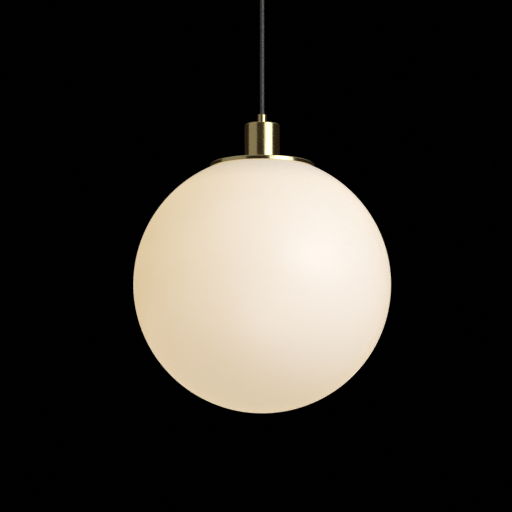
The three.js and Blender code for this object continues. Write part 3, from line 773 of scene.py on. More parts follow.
cordPlan = {
    "radius": 0.0025,
    "length": 0.160,
    "intoGrip": 0.0002,
    "bendAbove": 0.001,   # where a swing's bend would start, below the upper grip; the cord itself is drawn straight
    "bendOver": 0.022,    # and where that bend would be full
    "sides": 32,
    "rows": 72,
    "tailRows": 10,
    "tailEdge": 0.0003,
    "routeSteps": 32,
}
headMouth = headGripHigh.z


def makeCord():
    low, high = headMouth - cordPlan["intoGrip"], canopyMouth + cordPlan["intoGrip"]
    radius = cordPlan["radius"]
    outline = [(0, low)]
    outline += stretch((radius, low), (radius, high), cordPlan["rows"])
    outline.append((0, high))
    cord = lathe("pendantCord", outline, steps=cordPlan["sides"], closed=False)
    dress(cord, cordSheath, ["cord"])
    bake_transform(cord)
    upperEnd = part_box("cord_ceiling_tail")[1].z
    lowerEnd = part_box("cord_head_tail")[0].z
    tails = [
        makeCordTail("cordTailUp", "cord_ceiling_tail", "canopy", canopyMouth, upperEnd),
        makeCordTail("cordTailDown", "cord_head_tail", "head", headMouth, lowerEnd),
    ]


# the end of the cord inside a grip
def makeCordTail(name, node, body, mouth, end):
    radius = cordPlan["radius"]
    into = cordPlan["intoGrip"] * (1 if end > mouth else -1)
    outline = [(0, mouth + into)]
    outline += stretch((radius, mouth + into), (radius, end), cordPlan["tailRows"])
    outline.append((0, end))
    tail = lathe(name, outline, steps=cordPlan["sides"], closed=False)
    softenEdges(tail, cordPlan["tailEdge"], segments=2, angle=60)
    return fit(tail, body, cordSheath, "cord_sheath", node)


makeCord()
print("cord made")


globePlan = {"wall": 0.003, "segments": 144, "rings": 96, "groundEdge": 0.0003}


def makeGlobe():
    deselectAll()
    bpy.ops.mesh.primitive_uv_sphere_add(
        segments=globePlan["segments"], ring_count=globePlan["rings"],
        radius=globeRadius, location=(0, 0, globeCentre),
    )
    globe = bpy.context.object
    globe.name = "globeGlass"
    applyPlace(globe)
    useModifier(globe, "SOLIDIFY", thickness=globePlan["wall"], offset=-1, use_even_offset=True)
    openMesh(globe, "EDGE")
    bpy.ops.mesh.select_all(action="SELECT")
    bpy.ops.mesh.bisect(plane_co=(0, 0, globeHigh.z), plane_no=(0, 0, 1), clear_outer=True)
    bpy.ops.mesh.bridge_edge_loops()
    bpy.ops.mesh.select_all(action="SELECT")
    bpy.ops.mesh.normals_make_consistent(inside=False)
    closeMesh()
    softenEdges(globe, globePlan["groundEdge"], segments=2, angle=50)
    fit(globe, "globe", opalGlass, "opal_glass", "globe", angle=40)


makeGlobe()
print("globe made")


rivetPlaces = {number: middleOf(f"clip_rivet_{number}") for number in (1, 2, 3)}

platePlan = {
    "hole": 0.0187,
    "wall": 0.0015,
    "rimEdge": 0.0007,
    "innerBend": 0.0008,
    "rimSlope": 0.44,     # the rim ends on the slope of the glass
    "footEdge": 0.00025,
    "rivetHole": 0.0016,
}


def makePlate():
    radius = plateHigh.x
    top = plateHigh.z
    wall, hole, edge = platePlan["wall"], platePlan["hole"], platePlan["rimEdge"]
    bend, foot = platePlan["innerBend"], platePlan["footEdge"]
    rimInner = radius - wall
    rimEnd = plateLow.z + wall * platePlan["rimSlope"]
    outline = [(hole, top - wall + hairEdge), (hole + hairEdge, top - wall)]
    outline += arc(rimInner - bend, top - wall - bend, bend, 90, 0, 4)
    outline += [(rimInner, rimEnd + hairEdge / 2), (rimInner + hairEdge, rimEnd)]
    outline += [(radius - foot, plateLow.z), (radius, plateLow.z + foot)]
    outline += arc(radius - edge, top - edge, edge, 0, 90, 6)
    outline += [(hole + smallEdge, top), (hole, top - smallEdge)]
    plate = lathe("galleryPlate", outline, steps=160)
    for place in rivetPlaces.values():
        cutWith(plate, rod("rivetHole", platePlan["rivetHole"], drillLength, (place.x, place.y, top)))
    fit(plate, "head", brass, "brass", "gallery_plate", angle=30)


cupPlan = {
    "wall": 0.001,
    "topEdge": 0.0006,
    "lip": 0.00025,
    "wallStart": 0.002,   # from the foot to the first row of the plain wall
    "wallEnd": 0.003,     # and from its last row to the top
    "wallRows": 12,
}


def makeCup():
    radius, top, bottom = cupHigh.x, cupHigh.z, cupLow.z
    wall, edge, hole, lip = cupPlan["wall"], cupPlan["topEdge"], spigotHole, cupPlan["lip"]
    inner = radius - wall
    wallStart, wallEnd = bottom + cupPlan["wallStart"], top - cupPlan["wallEnd"]
    outline = [(inner, bottom + lip), (inner + lip, bottom), (radius - lip, bottom), (radius, bottom + lip)]
    outline += stretch((radius, wallStart), (radius, wallEnd), cupPlan["wallRows"])
    outline += arc(radius - edge, top - edge, edge, 0, 90, 8)
    outline += [(hole + lip, top), (hole, top - lip), (hole, top - wall + lip), (hole + lip, top - wall)]
    outline += arc(inner - edge / 2, top - wall - edge / 2, edge / 2, 90, 0, 4)
    cup = lathe("cupShell", outline, steps=160)
    fit(cup, "head", brass, "brass", "cup", angle=30)


gripPlan = {
    "radius": 0.0055,
    "bore": 0.0028,
    "spigot": 0.004,
    "height": 0.0117,
    "spigotLength": 0.012,
    "topEdge": 0.00035,
    "mouthFlare": 0.0008,
    "threadPitch": 0.001,
    "threadDepth": 0.0004,
    "threadStart": 0.0004,
    "threadEnd": 0.001,
    "undercut": 0.0003,
    "screwHole": 0.0018,
    "screwDrillAt": 0.006,
}


# the grip stands mouth up on its seat at height 0, as it is turned on a lathe
def gripOutline():
    radius, bore, spigot = gripPlan["radius"], gripPlan["bore"], gripPlan["spigot"]
    height, length, edge, flare = (gripPlan[k] for k in ("height", "spigotLength", "topEdge", "mouthFlare"))
    start, end, undercut = -length + gripPlan["threadStart"], -gripPlan["threadEnd"], gripPlan["undercut"]
    outline = [(bore, -length + hairEdge), (bore + hairEdge, -length)]
    outline += ringThread(spigot, start, end, gripPlan["threadPitch"], gripPlan["threadDepth"])
    outline += [(spigot - undercut, -undercut), (spigot - undercut, 0)]
    outline += [(radius - hairEdge, 0), (radius, hairEdge)]
    outline += arc(radius - edge, height - edge, edge, 0, 90, 6)
    outline += arc(bore + flare, height - flare, flare, 90, 180, 6)
    return outline


def makeGrip(name, node, body, flip=False):
    low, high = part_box(node)
    height = gripPlan["height"]
    seat = low.z + height if flip else high.z - height
    grip = lathe(name, gripOutline(), steps=72)
    holePlace = (0, gripPlan["screwDrillAt"], height / 2)
    hole = rod("screwHole", gripPlan["screwHole"], drillLength, holePlace, along="Y", sides=24)
    cutWith(grip, hole)
    grip.rotation_euler.x = math.pi if flip else 0
    grip.location.z = seat
    fit(grip, body, brass, "brass", node, angle=30)


makePlate()
makeCup()
makeGrip("headGrip", "head_grip", "head")
makeGrip("canopyGrip", "canopy_grip", "canopy", flip=True)
print("plate, cup and grips made")


canopyPlan = {
    "wall": 0.001,
    "lowerEdge": 0.0025,
    "rimRoll": 0.0003,
    "wallRow": 0.004,         # a row of the inner wall, this far above the face
    "faceRows": (0.35, 0.7),  # rows of the face, as shares of its radius
    "slotWidth": 0.0044,
    "slotOver": 0.002,        # how far the slot cutter stands above the rim
    "cutterDepth": 0.008,
}


def makeCanopy():
    radius, top, bottom = canopyHigh.x, canopyHigh.z, canopyLow.z
    wall, edge, roll = canopyPlan["wall"], canopyPlan["lowerEdge"], canopyPlan["rimRoll"]
    inner, hole = radius - wall, spigotHole
    outline = [(inner, top - roll), (inner, bottom + canopyPlan["wallRow"])]
    outline += arc(inner - edge + wall, bottom + edge, edge - wall, 0, -90, 6)
    outline += [(hole + smallEdge, bottom + wall), (hole, bottom + wall - hairEdge)]
    outline += [(hole, bottom + hairEdge), (hole + hairEdge, bottom)]
    outline += [(radius * share, bottom) for share in canopyPlan["faceRows"]]
    outline += arc(radius - edge, bottom + edge, edge, -90, 0, 8)
    outline += [(radius, top - roll), (radius - roll, top), (inner + roll, top)]
    canopy = lathe("canopyShell", outline, steps=160)
    screwLevel = middleOf("canopy_screw_right").z
    slotTop = top + canopyPlan["slotOver"]
    width, depth = canopyPlan["slotWidth"], canopyPlan["cutterDepth"]
    slotSize = (depth, width, slotTop - screwLevel)
    for side in (-1, 1):
        slot = slab("slotCutter", slotSize, (side * radius, 0, (slotTop + screwLevel) / 2))
        slotEnd = rod("slotEnd", width / 2, depth, (side * radius, 0, screwLevel), along="X")
        cutWith(canopy, slot, slotEnd)
    fit(canopy, "canopy", brass, "brass", "canopy", angle=30)


makeCanopy()

knobPlan = {
    "seat": 0.0553,           # from the Z axis to the head
    "headRadius": 0.004,
    "headLength": 0.005,
    "headEdge": 0.0004,
    "crownRadius": 0.0024,
    "shankRadius": 0.0019,
    "reach": 0.008,
    "threadPitch": 0.0007,
    "threadDepth": 0.00035,
    "flutes": 36,
    "fluteBorder": 0.00006,
    "fluteDepth": 0.00018,
    "slotWidth": 0.0009,
    "slotDepth": 0.0011,
    "slotLength": 0.012,
}


# the side screw is turned standing up, with its head's seat at height 0, then laid over
def makeSideScrews():
    radius, length, shank = knobPlan["headRadius"], knobPlan["headLength"], knobPlan["shankRadius"]
    edge, tip, thread = knobPlan["headEdge"], -knobPlan["reach"], knobPlan["threadPitch"]
    outline = [(0, tip)]
    outline += ringThread(shank, tip + smallEdge, -2 * edge, thread, knobPlan["threadDepth"])
    outline += [(shank - hairEdge, -edge), (shank - hairEdge, 0)]
    outline += [(radius - edge, 0), (radius, edge)]
    outline += [(radius, length - edge - hairEdge), (radius - edge, length - hairEdge)]
    outline += [(knobPlan["crownRadius"], length), (0, length)]
    screw = lathe("sideScrewRight", outline, steps=2 * knobPlan["flutes"], closed=False)
    pressFaces(
        screw,
        lambda centre, normal: math.hypot(centre.x, centre.y) > 0.9 * radius and abs(normal.z) < 0.1
        and edge < centre.z < length - edge - hairEdge,
        knobPlan["fluteBorder"], knobPlan["fluteDepth"],
    )
    slotSize = (knobPlan["slotLength"], knobPlan["slotWidth"], 2 * knobPlan["slotDepth"])
    cutWith(screw, slab("slotCutter", slotSize, (0, 0, length)))
    screw.rotation_euler.y = math.pi / 2
    screw.location = (knobPlan["seat"], 0, middleOf("canopy_screw_right").z)
    applyPlace(screw)
    other = copyPiece(screw, "sideScrewLeft", turn=math.pi)
    fit(screw, "ceiling", smallBrass, "brass_small", "canopy_screw_right", angle=30)
    fit(other, "ceiling", smallBrass, "brass_small", "canopy_screw_left", angle=30)


makeSideScrews()
print("canopy made")


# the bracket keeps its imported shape, with its edges broken
def makeBracket():
    bracket = fineCopy("ceiling_bracket", "ceilingBracket", edge=0.0004, segments=2, angle=40)
    fit(bracket, "ceiling", zincSteel, "zinc_steel", "ceiling_bracket", angle=40)


terminalScrewPlan = {
    "headRadius": 0.0018, "headHeight": 0.0016, "shankRadius": 0.0018, "slotWidth": 0.0006, "steps": 28,
}
blockScrewPlan = {
    "headRadius": 0.003, "headHeight": 0.0018, "shankRadius": 0.0015, "slotWidth": 0.0007, "steps": 40,
}
blockPlan = {
    "edge": 0.0008,
    "grooveWidth": 0.0018,
    "grooveDepth": 0.0065,
    "lugWidth": 0.0085,
    "chimneyHole": 0.0021,
    "chimneyLength": 0.0106,
    "wireHole": 0.0014,
    "wireHoleLength": 0.005,
    "screwHole": 0.0018,
    "screwHoleLength": 0.03,
    "overrun": 0.0005,       # how far a groove's cutter stands out of the block
}


def makeTerminalBlock():
    low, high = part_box("terminal_block")
    middle = middleOf("terminal_block")
    size = high - low
    body = slab("terminalBlock", tuple(size), tuple(middle))
    grooveLength = (size.x - blockPlan["lugWidth"]) / 2
    overrun = blockPlan["overrun"]
    grooveSize = (grooveLength + 2 * overrun, blockPlan["grooveWidth"], 2 * blockPlan["grooveDepth"])
    for side in (-1, 1):
        x = middle.x + side * (size.x / 2 - grooveLength / 2 + overrun)
        cutWith(body, slab("groove", grooveSize, (x, middle.y, low.z)))
    softenEdges(body, blockPlan["edge"], angle=40)
    for number in (1, 2, 3, 4):
        place = middleOf(f"terminal_screw_{number}")
        cutWith(body, rod(
            "chimney", blockPlan["chimneyHole"], blockPlan["chimneyLength"], (place.x, place.y, low.z),
        ))
    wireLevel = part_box("terminal_screw_1")[1].z
    for node in ("terminal_screw_1", "terminal_screw_2"):
        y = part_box(node)[0].y + terminalScrewPlan["headRadius"]
        for x in (high.x, low.x):
            cutWith(body, rod(
                "wireHole", blockPlan["wireHole"], blockPlan["wireHoleLength"], (x, y, wireLevel), along="X",
            ))
    cutWith(body, rod("screwHole", blockPlan["screwHole"], blockPlan["screwHoleLength"], tuple(middle)))
    fit(body, "ceiling", whitePlastic, "white_plastic", "terminal_block", angle=40)


smallThread = {"pitch": 0.0006, "depth": 0.00025}


# a slotted screw standing head down, from its head's face to its tip
def slottedScrew(name, bottom, top, headRadius, headHeight, shankRadius, slotWidth, steps):
    rounding = 0.25 * headRadius
    seat = bottom + headHeight
    outline = [(0, bottom)]
    outline += arc(headRadius - rounding, bottom + rounding, rounding, -90, 0, 4)
    outline += [(headRadius, seat), (0.9 * shankRadius, seat)]
    outline += ringThread(shankRadius, seat + smallEdge, top, smallThread["pitch"], smallThread["depth"])
    outline.append((0, top))
    screw = lathe(name, outline, steps=steps, closed=False)
    slot = slab("slotCutter", (3 * headRadius, slotWidth, headHeight), (0, 0, bottom))
    cutWith(screw, slot)
    return screw


def makeBlockScrews():
    low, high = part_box("block_screw")
    screw = slottedScrew("blockScrew", low.z, high.z, **blockScrewPlan)
    screw.location.x = middleOf("block_screw").x
    fit(screw, "ceiling", zincSteel, "zinc_steel", "block_screw")
    low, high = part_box("terminal_screw_1")
    model = slottedScrew("terminalScrewModel", low.z, high.z, **terminalScrewPlan)
    for number in (1, 2, 3, 4):
        place = middleOf(f"terminal_screw_{number}")
        turn = 0.5 + 1.1 * number  # each one is tightened to its own angle
        copy = copyPiece(model, f"terminalScrew{number}", (place.x, place.y, 0), turn)
        fit(copy, "ceiling", smallBrass, "brass_small", f"terminal_screw_{number}")
    bpy.data.objects.remove(model)


setScrewPlan = {
    "radius": 0.0015,
    "pointRadius": 0.0006,
    "pointHeight": 0.0004,
    "threadPitch": 0.0005,
    "threadDepth": 0.0002,
    "socket": 0.0009,
    "socketLength": 0.0024,
}


# the small set screw in each cord grip, with a hexagon socket that faces out
def makeGripScrews():
    for name, node, body in (
        ("headGripScrew", "head_grip_screw", "head"),
        ("canopyGripScrew", "canopy_grip_screw", "canopy"),
    ):
        low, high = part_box(node)
        side = 1 if low.y > 0 else -1
        length = high.y - low.y
        radius, point, rise, pitch = (
            setScrewPlan[k] for k in ("radius", "pointRadius", "pointHeight", "threadPitch")
        )
        outline = [(0, 0), (point, 0), (radius - rise, rise)]
        outline += ringThread(radius, pitch, length - smallEdge, pitch, setScrewPlan["threadDepth"])
        outline += [(radius - hairEdge, length), (0, length)]
        screw = lathe(name, outline, steps=32, closed=False)
        socket, depth = setScrewPlan["socket"], setScrewPlan["socketLength"]
        cutWith(screw, rod("socket", socket, depth, (0, 0, length), sides=6))
        screw.rotation_euler.x = -side * math.pi / 2
        screw.location = (0, low.y if side > 0 else high.y, middleOf(node).z)
        fit(screw, body, zincSteel, "zinc_steel", node)


def makeNutsAndWashers():
    for prefix, body in (("canopy", "canopy"), ("cup", "head")):
        nut = fineCopy(f"{prefix}_nut", f"{prefix}Nut", edge=0.00035, angle=40)
        fit(nut, body, zincSteel, "zinc_steel", f"{prefix}_nut", angle=40)
        low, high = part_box(f"{prefix}_washer")
        outline = ringOutline(spigotHole, high.x, low.z, high.z, hairEdge, hairEdge)
        washer = lathe(f"{prefix}Washer", outline, steps=64)
        fit(washer, body, zincSteel, "zinc_steel", f"{prefix}_washer")


makeBracket()
makeTerminalBlock()
makeBlockScrews()
makeGripScrews()
makeNutsAndWashers()
print("bracket and small steel made")


corePlan = {
    "radius": 0.001,
    "apart": 0.0012,        # each core from the middle, where the two leave the sheath
    "ceilingSpread": 0.0045,
    "headSpread": 0.0052,
}


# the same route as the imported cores: out of the cord, over the block's front and into its holes
def makeCeilingCores():
    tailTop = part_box("cord_ceiling_tail")[1].z
    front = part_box("terminal_block")[1].x
    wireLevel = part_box("terminal_screw_1")[1].z + partGap
    start = tailTop + partGap
    for side, name, node, skin, slotName in (
        (1, "liveCoreUp", "live_core_ceiling", liveCoreSkin, "live_core"),
        (-1, "neutralCoreUp", "neutral_core_ceiling", neutralCoreSkin, "neutral_core"),
    ):
        spread = side * corePlan["ceilingSpread"]
        apart = side * corePlan["apart"]
        route = [
            (0, apart, start - 0.0005),
            (0, apart, start + 0.001),
            (0.0018, apart * 1.4, start + 0.0026),
            (front + 0.005, spread * 0.8, start + 0.0042),
            (front + 0.009, spread, (start + wireLevel) / 2 + 0.0028),
            (front + 0.005, spread, wireLevel),
            (front - 0.0022, spread, wireLevel),
        ]
        core = tubeAlong(name, route, corePlan["radius"])
        dress(core, skin, [node])
        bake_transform(core)


# and down from the lower grip to the lampholder's screws
def makeHeadCores():
    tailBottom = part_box("cord_head_tail")[0].z
    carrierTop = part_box("contact_carrier")[1].z
    start = tailBottom - partGap
    for side, name, node, skin, slotName in (
        (1, "liveCoreDown", "live_core_head", liveCoreSkin, "live_core"),
        (-1, "neutralCoreDown", "neutral_core_head", neutralCoreSkin, "neutral_core"),
    ):
        end = side * corePlan["headSpread"]
        apart = side * corePlan["apart"]
        route = [
            (0, apart, start + 0.0005),
            (0, side * 0.0016, start - 0.003),
            (0, (end + apart) / 2, (start + carrierTop) / 2),
            (0, end, carrierTop + 0.003),
            (0, end, carrierTop + partGap),
        ]
        core = tubeAlong(name, route, corePlan["radius"])
        fit(core, "head", skin, slotName, node)


makeCeilingCores()
makeHeadCores()
print("cores made")


holderPlan = {
    "wall": 0.002,
    "edge": 0.0004,
    "ledge": 0.0013,
    "ledgeHeight": 0.0007,
    "threadPitch": 0.0025,
    "threadDepth": 0.0007,
    "threadFrom": 0.001,     # heights above the foot
    "threadTo": 0.0215,
    "rowsTo": 0.022,
    "rows": 70,
    "neck": 0.0072,
    "neckEdge": 0.0005,
    "shoulder": 0.003,
    "roofBend": 0.002,
    "grooveBorder": 0.0004,
    "grooveDepth": 0.0005,
}


# the lampholder's body, with the outer thread that the shade ring screws on to
def makeHolderBody():
    low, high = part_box("holder_body")
    radius, wall, edge = high.x, holderPlan["wall"], holderPlan["edge"]
    inner = radius - wall
    ledgeInner = inner - holderPlan["ledge"]
    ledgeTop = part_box("contact_carrier")[0].z - partGap
    ledgeFoot = ledgeTop - holderPlan["ledgeHeight"]
    outline = [(inner, low.z + edge), (inner + edge, low.z), (radius - edge, low.z)]
    outline += stretch((radius, low.z + edge), (radius, low.z + holderPlan["rowsTo"]), holderPlan["rows"])
    outline += [(radius, high.z - 0.001), (radius - smallEdge, high.z), (inner, high.z)]
    outline += [(inner, ledgeTop), (ledgeInner, ledgeTop), (ledgeInner, ledgeFoot), (inner, ledgeFoot)]
    body = lathe("holderBody", outline, steps=96)
    rollThread(
        body, low.z + holderPlan["threadFrom"], low.z + holderPlan["threadTo"],
        holderPlan["threadPitch"], holderPlan["threadDepth"], fadeOver=0.00001, wallFrom=radius - wall / 4,
    )
    fit(body, "head", blackPlastic, "black_plastic", "holder_body")


# its cap: a neck, a round shoulder and finger grooves
def makeHolderCap():
    low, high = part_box("holder_cap")
    radius, wall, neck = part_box("holder_body")[1].x, holderPlan["wall"], holderPlan["neck"]
    bend, turn, edge = holderPlan["shoulder"], holderPlan["roofBend"], holderPlan["neckEdge"]
    inner = radius - wall
    roof = headGripLow.z - partGap
    shoulder = roof + wall
    outline = [(inner, low.z), (radius - smallEdge, low.z), (radius, low.z + smallEdge)]
    outline += [(radius, shoulder - bend)]
    outline += arc(radius - bend, shoulder - bend, bend, 0, 90, 8)
    outline += [(neck, shoulder), (neck, high.z - edge), (neck - edge, high.z)]
    outline += [(spigotHole, high.z), (spigotHole, roof), (inner - turn, roof)]
    outline += arc(inner - turn, roof - turn, turn, 90, 0, 4)
    cap = lathe("holderCap", outline, steps=72)
    pressFaces(
        cap,
        lambda centre, normal: abs(normal.z) < 0.1 and math.hypot(centre.x, centre.y) > 0.97 * radius
        and normal.x * centre.x + normal.y * centre.y > 0 and low.z + edge < centre.z < shoulder - bend,
        holderPlan["grooveBorder"], holderPlan["grooveDepth"],
    )
    fit(cap, "head", blackPlastic, "black_plastic", "holder_cap")


ringPlan = {
    "hole": 0.0187, "edge": 0.0004, "footEdge": 0.001,
    "ribs": 60, "ribBorder": 0.00025, "ribDepth": 0.0004,
}


def makeShadeRing():
    low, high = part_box("shade_ring")
    radius = high.x
    outline = ringOutline(
        ringPlan["hole"], radius, low.z, high.z, ringPlan["edge"], ringPlan["footEdge"],
    )
    ring = lathe("shadeRing", outline, steps=2 * ringPlan["ribs"])
    pressFaces(
        ring,
        lambda centre, normal: abs(normal.z) < 0.1 and math.hypot(centre.x, centre.y) > 0.95 * radius,
        ringPlan["ribBorder"], ringPlan["ribDepth"],
    )
    fit(ring, "head", blackPlastic, "black_plastic", "shade_ring")


edisonThread = {"pitch": 0.00363, "depth": 0.0010, "rows": 48}
shellPlan = {"inner": 0.01355, "depth": 0.0006, "fade": 0.001}


# the thread shell, crimped outwards along the lamp's thread
def makeThreadShell():
    low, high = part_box("thread_shell")
    inner, outer = shellPlan["inner"], high.x
    foot = low.z + hairEdge
    outline = stretch((outer, foot), (outer, high.z), edisonThread["rows"])
    outline += stretch((inner, high.z), (inner, foot), edisonThread["rows"])
    outline += arc((inner + outer) / 2, foot, (outer - inner) / 2, 180, 360, 4)[1:-1]
    shell = lathe("threadShell", outline, steps=72)
    rollThread(
        shell, low.z, high.z, edisonThread["pitch"], shellPlan["depth"],
        fadeOver=shellPlan["fade"], outwards=True,
    )
    fit(shell, "head", smallBrass, "brass_small", "thread_shell", angle=60)


carrierPlan = {
    "footEdge": 0.0006,
    "topEdge": 0.001,
    "recess": (0.0040, 0.0122),   # a ring sunk into the top face
    "recessDepth": 0.0008,
    "notch": 0.0016,
    "notchLength": 0.02,
    "notchLift": 0.004,
}


# the porcelain carrier, with a ring sunk into its face and a notch at each side
def makeContactCarrier():
    low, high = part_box("contact_carrier")
    radius, foot, edge = high.x, carrierPlan["footEdge"], carrierPlan["topEdge"]
    (recessInner, recessOuter), sunk = carrierPlan["recess"], high.z - carrierPlan["recessDepth"]
    outline = [(0, low.z), (radius - foot, low.z), (radius, low.z + foot), (radius, high.z - edge)]
    outline += [(radius - edge, high.z), (recessOuter + smallEdge, high.z), (recessOuter, sunk)]
    outline += [(recessInner, sunk), (recessInner - smallEdge, high.z), (0, high.z)]
    carrier = lathe("contactCarrier", outline, steps=64, closed=False)
    for side in (-1, 1):
        place = (side * radius, 0, low.z + carrierPlan["notchLift"])
        cutWith(carrier, rod("notch", carrierPlan["notch"], carrierPlan["notchLength"], place))
    fit(carrier, "head", porcelain, "porcelain", "contact_carrier")


holderScrewPlan = {"radius": 0.0025, "crown": 0.0005, "slot": (0.008, 0.0007, 0.0018)}


# the sprung contact and the two screws that hold the cores
def makeContacts():
    contact = fineCopy("centre_contact", "centreContact", edge=0.00015, segments=2, angle=20)
    fit(contact, "head", springSteel, "spring_steel", "centre_contact", angle=40)
    low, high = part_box("holder_screw_live")
    radius, crown = holderScrewPlan["radius"], holderScrewPlan["crown"]
    outline = [(0, low.z), (radius - smallEdge, low.z), (radius, low.z + smallEdge)]
    outline += arc(radius - crown, high.z - crown, crown, 0, 90, 4)
    outline.append((0, high.z))
    model = lathe("holderScrewModel", outline, steps=40, closed=False)
    cutWith(model, slab("slotCutter", holderScrewPlan["slot"], (0, 0, high.z)))
    for node, name, turn in (
        ("holder_screw_live", "holderScrewLive", 0.4), ("holder_screw_neutral", "holderScrewNeutral", 1.9),
    ):
        place = middleOf(node)
        copy = copyPiece(model, name, (place.x, place.y, 0), turn)
        fit(copy, "head", smallBrass, "brass_small", node)
    bpy.data.objects.remove(model)


makeHolderBody()
makeHolderCap()
makeShadeRing()
makeThreadShell()
makeContactCarrier()
makeContacts()
print("lampholder made")


gasketPlan = {"inner": 0.0485, "arcSteps": 6}


# a flat ring with round edges
def makeGasket():
    low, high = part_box("gasket")
    inner, outer, steps = gasketPlan["inner"], high.x, gasketPlan["arcSteps"]
    level = (low.z + high.z) / 2
    half = (high.z - low.z) / 2
    outline = arc(outer - half, level, half, -90, 90, steps)
    outline += arc(inner + half, level, half, 90, 270, steps)
    gasket = lathe("gasketRing", outline, steps=128)
    fit(gasket, "head", silicone, "silicone", "gasket")


clipPlan = {"edge": 0.00012}


def makeClips():
    for number in (1, 2, 3):
        node = f"spring_clip_{number}"
        clip = fineCopy(node, f"springClip{number}", clipPlan["edge"], segments=2, angle=25)
        fit(clip, "head", springSteel, "spring_steel", node, angle=40)


rivetPlan = {
    "headRadius": 0.003, "headHeight": 0.0012, "shankRadius": 0.0015, "pit": 0.0006, "domeSteps": 7,
}


def makeRivets():
    low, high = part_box("clip_rivet_1")
    head, shank, height = rivetPlan["headRadius"], rivetPlan["shankRadius"], rivetPlan["headHeight"]
    pit, steps = rivetPlan["pit"], rivetPlan["domeSteps"]
    seat = low.z + height
    outline = [(0, low.z)]
    for i in range(1, steps):
        angle = math.radians(90 * i / steps)
        outline.append((head * math.sin(angle), seat - height * math.cos(angle)))
    outline += [(head, seat), (shank, seat), (shank, high.z - hairEdge), (shank - hairEdge, high.z)]
    outline += [(pit, high.z), (pit - hairEdge, high.z - smallEdge), (0, high.z - smallEdge)]
    model = lathe("rivetModel", outline, steps=40, closed=False)
    for number, place in rivetPlaces.items():
        copy = copyPiece(model, f"clipRivet{number}", (place.x, place.y, 0))
        fit(copy, "head", zincSteel, "zinc_steel", f"clip_rivet_{number}")
    bpy.data.objects.remove(model)


makeGasket()
makeClips()
makeRivets()
print("clips made")


lampPlan = {
    "capRadius": 0.0132,
    "capWall": 0.0005,
    "tipRadius": 0.0048,
    "domeWall": 0.0012,
    "domeSteps": 28,
    "bodyWall": 0.0015,
    "bodyNeck": 0.0124,
    "bodySteps": 24,
}


# the solder tip, flat at its foot and domed towards the socket's contact
def makeLampTip():
    low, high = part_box("lamp_tip")
    radius = lampPlan["tipRadius"]
    outline = [(0, low.z), (radius - hairEdge, low.z), (radius, low.z + hairEdge)]
    outline += [(radius, low.z + 0.0005), (radius * 0.8, high.z - 0.0003), (radius * 0.45, high.z - 0.0002)]
    outline += [(radius * 0.35, high.z), (0, high.z)]
    tip = lathe("lampTip", outline, steps=48, closed=False)
    fit(tip, "lamp", lampMetal, "lamp_metal", "lamp_tip", angle=40)


# the black insulator between tip and cap
def makeLampInsulator():
    low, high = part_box("lamp_insulator")
    outline = [(0, high.z), (0, low.z), (high.x, low.z)]
    outline += [(high.x - 0.0008, low.z + 0.0012), (0.0064, high.z - 0.0009), (0.0054, high.z)]
    insulator = lathe("lampInsulator", outline, steps=48, closed=False)
    fit(insulator, "lamp", blackPlastic, "black_plastic", "lamp_insulator", angle=25)


# the screw cap: a thin shell drawn in at its top, with the thread rolled into it
def makeLampCap():
    low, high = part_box("lamp_cap")
    radius, wall = lampPlan["capRadius"], lampPlan["capWall"]
    inner, mouth = radius - wall, lampPlan["tipRadius"] + 0.001
    rows, pitch = edisonThread["rows"], edisonThread["pitch"]
    outline = stretch((radius, low.z + hairEdge), (radius, high.z - 0.003), rows)
    outline += [(radius - 0.0009, high.z - 0.0014), (radius - 0.0025, high.z), (mouth, high.z)]
    outline += [(mouth, high.z - wall), (inner - 0.0023, high.z - wall - 0.0001)]
    outline += [(inner - 0.0008, high.z - 0.0016)]
    outline += stretch((inner, high.z - 0.0035), (inner, low.z + hairEdge), rows)
    outline += [(inner + hairEdge / 2, low.z), (radius - hairEdge / 2, low.z)]
    cap = lathe("lampCap", outline, steps=72)
    rollThread(cap, low.z + 0.003, high.z - 0.0032, pitch, edisonThread["depth"], fadeOver=pitch)
    fit(cap, "lamp", lampMetal, "lamp_metal", "lamp_cap", angle=60)


# the body flares smoothly from the screw cap to the dome
def flare(share, narrow, wide):
    return narrow + (wide - narrow) * (0.5 - 0.5 * math.cos(math.pi * min(1, share * 1.15)))


def makeLampBody():
    low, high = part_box("lamp_body")
    wall, neck, steps = lampPlan["bodyWall"], lampPlan["bodyNeck"], lampPlan["bodySteps"]
    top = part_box("lamp_cap")[0].z - partGap
    narrow, wide = lampPlan["capRadius"] + 0.0006, high.x
    levels = [top + (low.z - top) * i / steps for i in range(steps + 1)]
    outer = [(flare(i / steps, narrow, wide), level) for i, level in enumerate(levels)]
    outline = [(neck, high.z), (neck, top), (narrow - smallEdge, top)]
    outline += [(outer[0][0], top - smallEdge)] + outer[1:]
    outline += [(radius - wall, level) for radius, level in reversed(outer[1:])]
    outline += [(neck - wall, top), (neck - wall, high.z)]
    body = lathe("lampBody", outline, steps=96)
    fit(body, "lamp", whitePlastic, "white_plastic", "lamp_body")


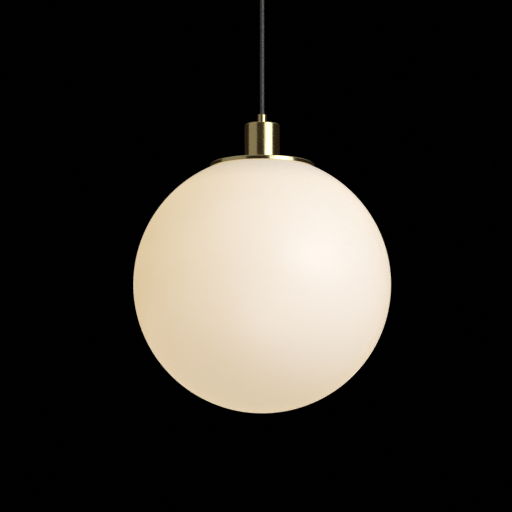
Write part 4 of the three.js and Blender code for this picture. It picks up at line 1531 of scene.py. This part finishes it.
# the dome: half an ellipse with an even wall
def makeLampDome():
    low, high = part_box("lamp_dome")
    radius, wall, steps = high.x, lampPlan["domeWall"], lampPlan["domeSteps"]
    depth = high.z - low.z
    outer = []
    inner = []
    for i in range(steps + 1):
        angle = 0.5 * math.pi * i / steps
        outer.append((radius * math.cos(angle), high.z - depth * math.sin(angle)))
        inner.append(((radius - wall) * math.cos(angle), high.z - (depth - wall) * math.sin(angle)))
    outer[-1] = (0, low.z)
    inner[-1] = (0, low.z + wall)
    dome = lathe("lampDome", list(reversed(outer)) + inner, steps=96, closed=False)
    fit(dome, "lamp", lampDiffuser, "lamp_diffuser", "lamp_dome", angle=50)


boardPlan = {
    "chipSize": 0.0028, "chipHeight": 0.0007, "chipRim": 0.0005, "chipSunk": 0.0002,
    "rings": ((6, 0.008), (12, 0.017)),  # how many chips, at what radius
}


# a round board with two rings of chips, which face down into the dome
def makeLampBoard():
    low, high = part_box("lamp_board")
    radius = high.x
    outline = [(0, low.z), (radius - smallEdge, low.z), (radius, low.z + smallEdge)]
    outline += [(radius, high.z - smallEdge), (radius - smallEdge, high.z), (0, high.z)]
    board = lathe("lampBoard", outline, steps=64, closed=False)
    board.data.materials.append(boardWhite)
    size, height = boardPlan["chipSize"], boardPlan["chipHeight"]
    chip = slab("chip", (size, size, height), (0, 0, low.z - height / 2))
    openMesh(chip)
    selectFaces(chip, lambda centre, normal: normal.z < -0.9)
    bpy.ops.mesh.inset(thickness=boardPlan["chipRim"], depth=-boardPlan["chipSunk"])
    closeMesh()
    chip.data.materials.append(boardWhite)
    chip.data.materials.append(chipPhosphor)
    for polygon in chip.data.polygons:
        inside = max(abs(polygon.center.x), abs(polygon.center.y)) < size / 2 - 0.8 * boardPlan["chipRim"]
        polygon.material_index = 1 if inside and polygon.normal.z < -0.9 else 0
    chips = []
    for count, ringRadius in boardPlan["rings"]:
        for i in range(count):
            angle = 2 * math.pi * i / count
            place = (ringRadius * math.cos(angle), ringRadius * math.sin(angle), 0)
            chips.append(copyPiece(chip, "chipCopy", place, angle))
    bpy.data.objects.remove(chip)
    pickUp(board)
    for copy in chips:
        copy.select_set(True)
    bpy.ops.object.join()
    bpy.ops.object.shade_smooth_by_angle(angle=math.radians(35))
    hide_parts("lamp_board")
    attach(board, "lamp")


makeLampTip()
makeLampInsulator()
makeLampCap()
makeLampBody()
makeLampDome()
makeLampBoard()
print("lamp made")
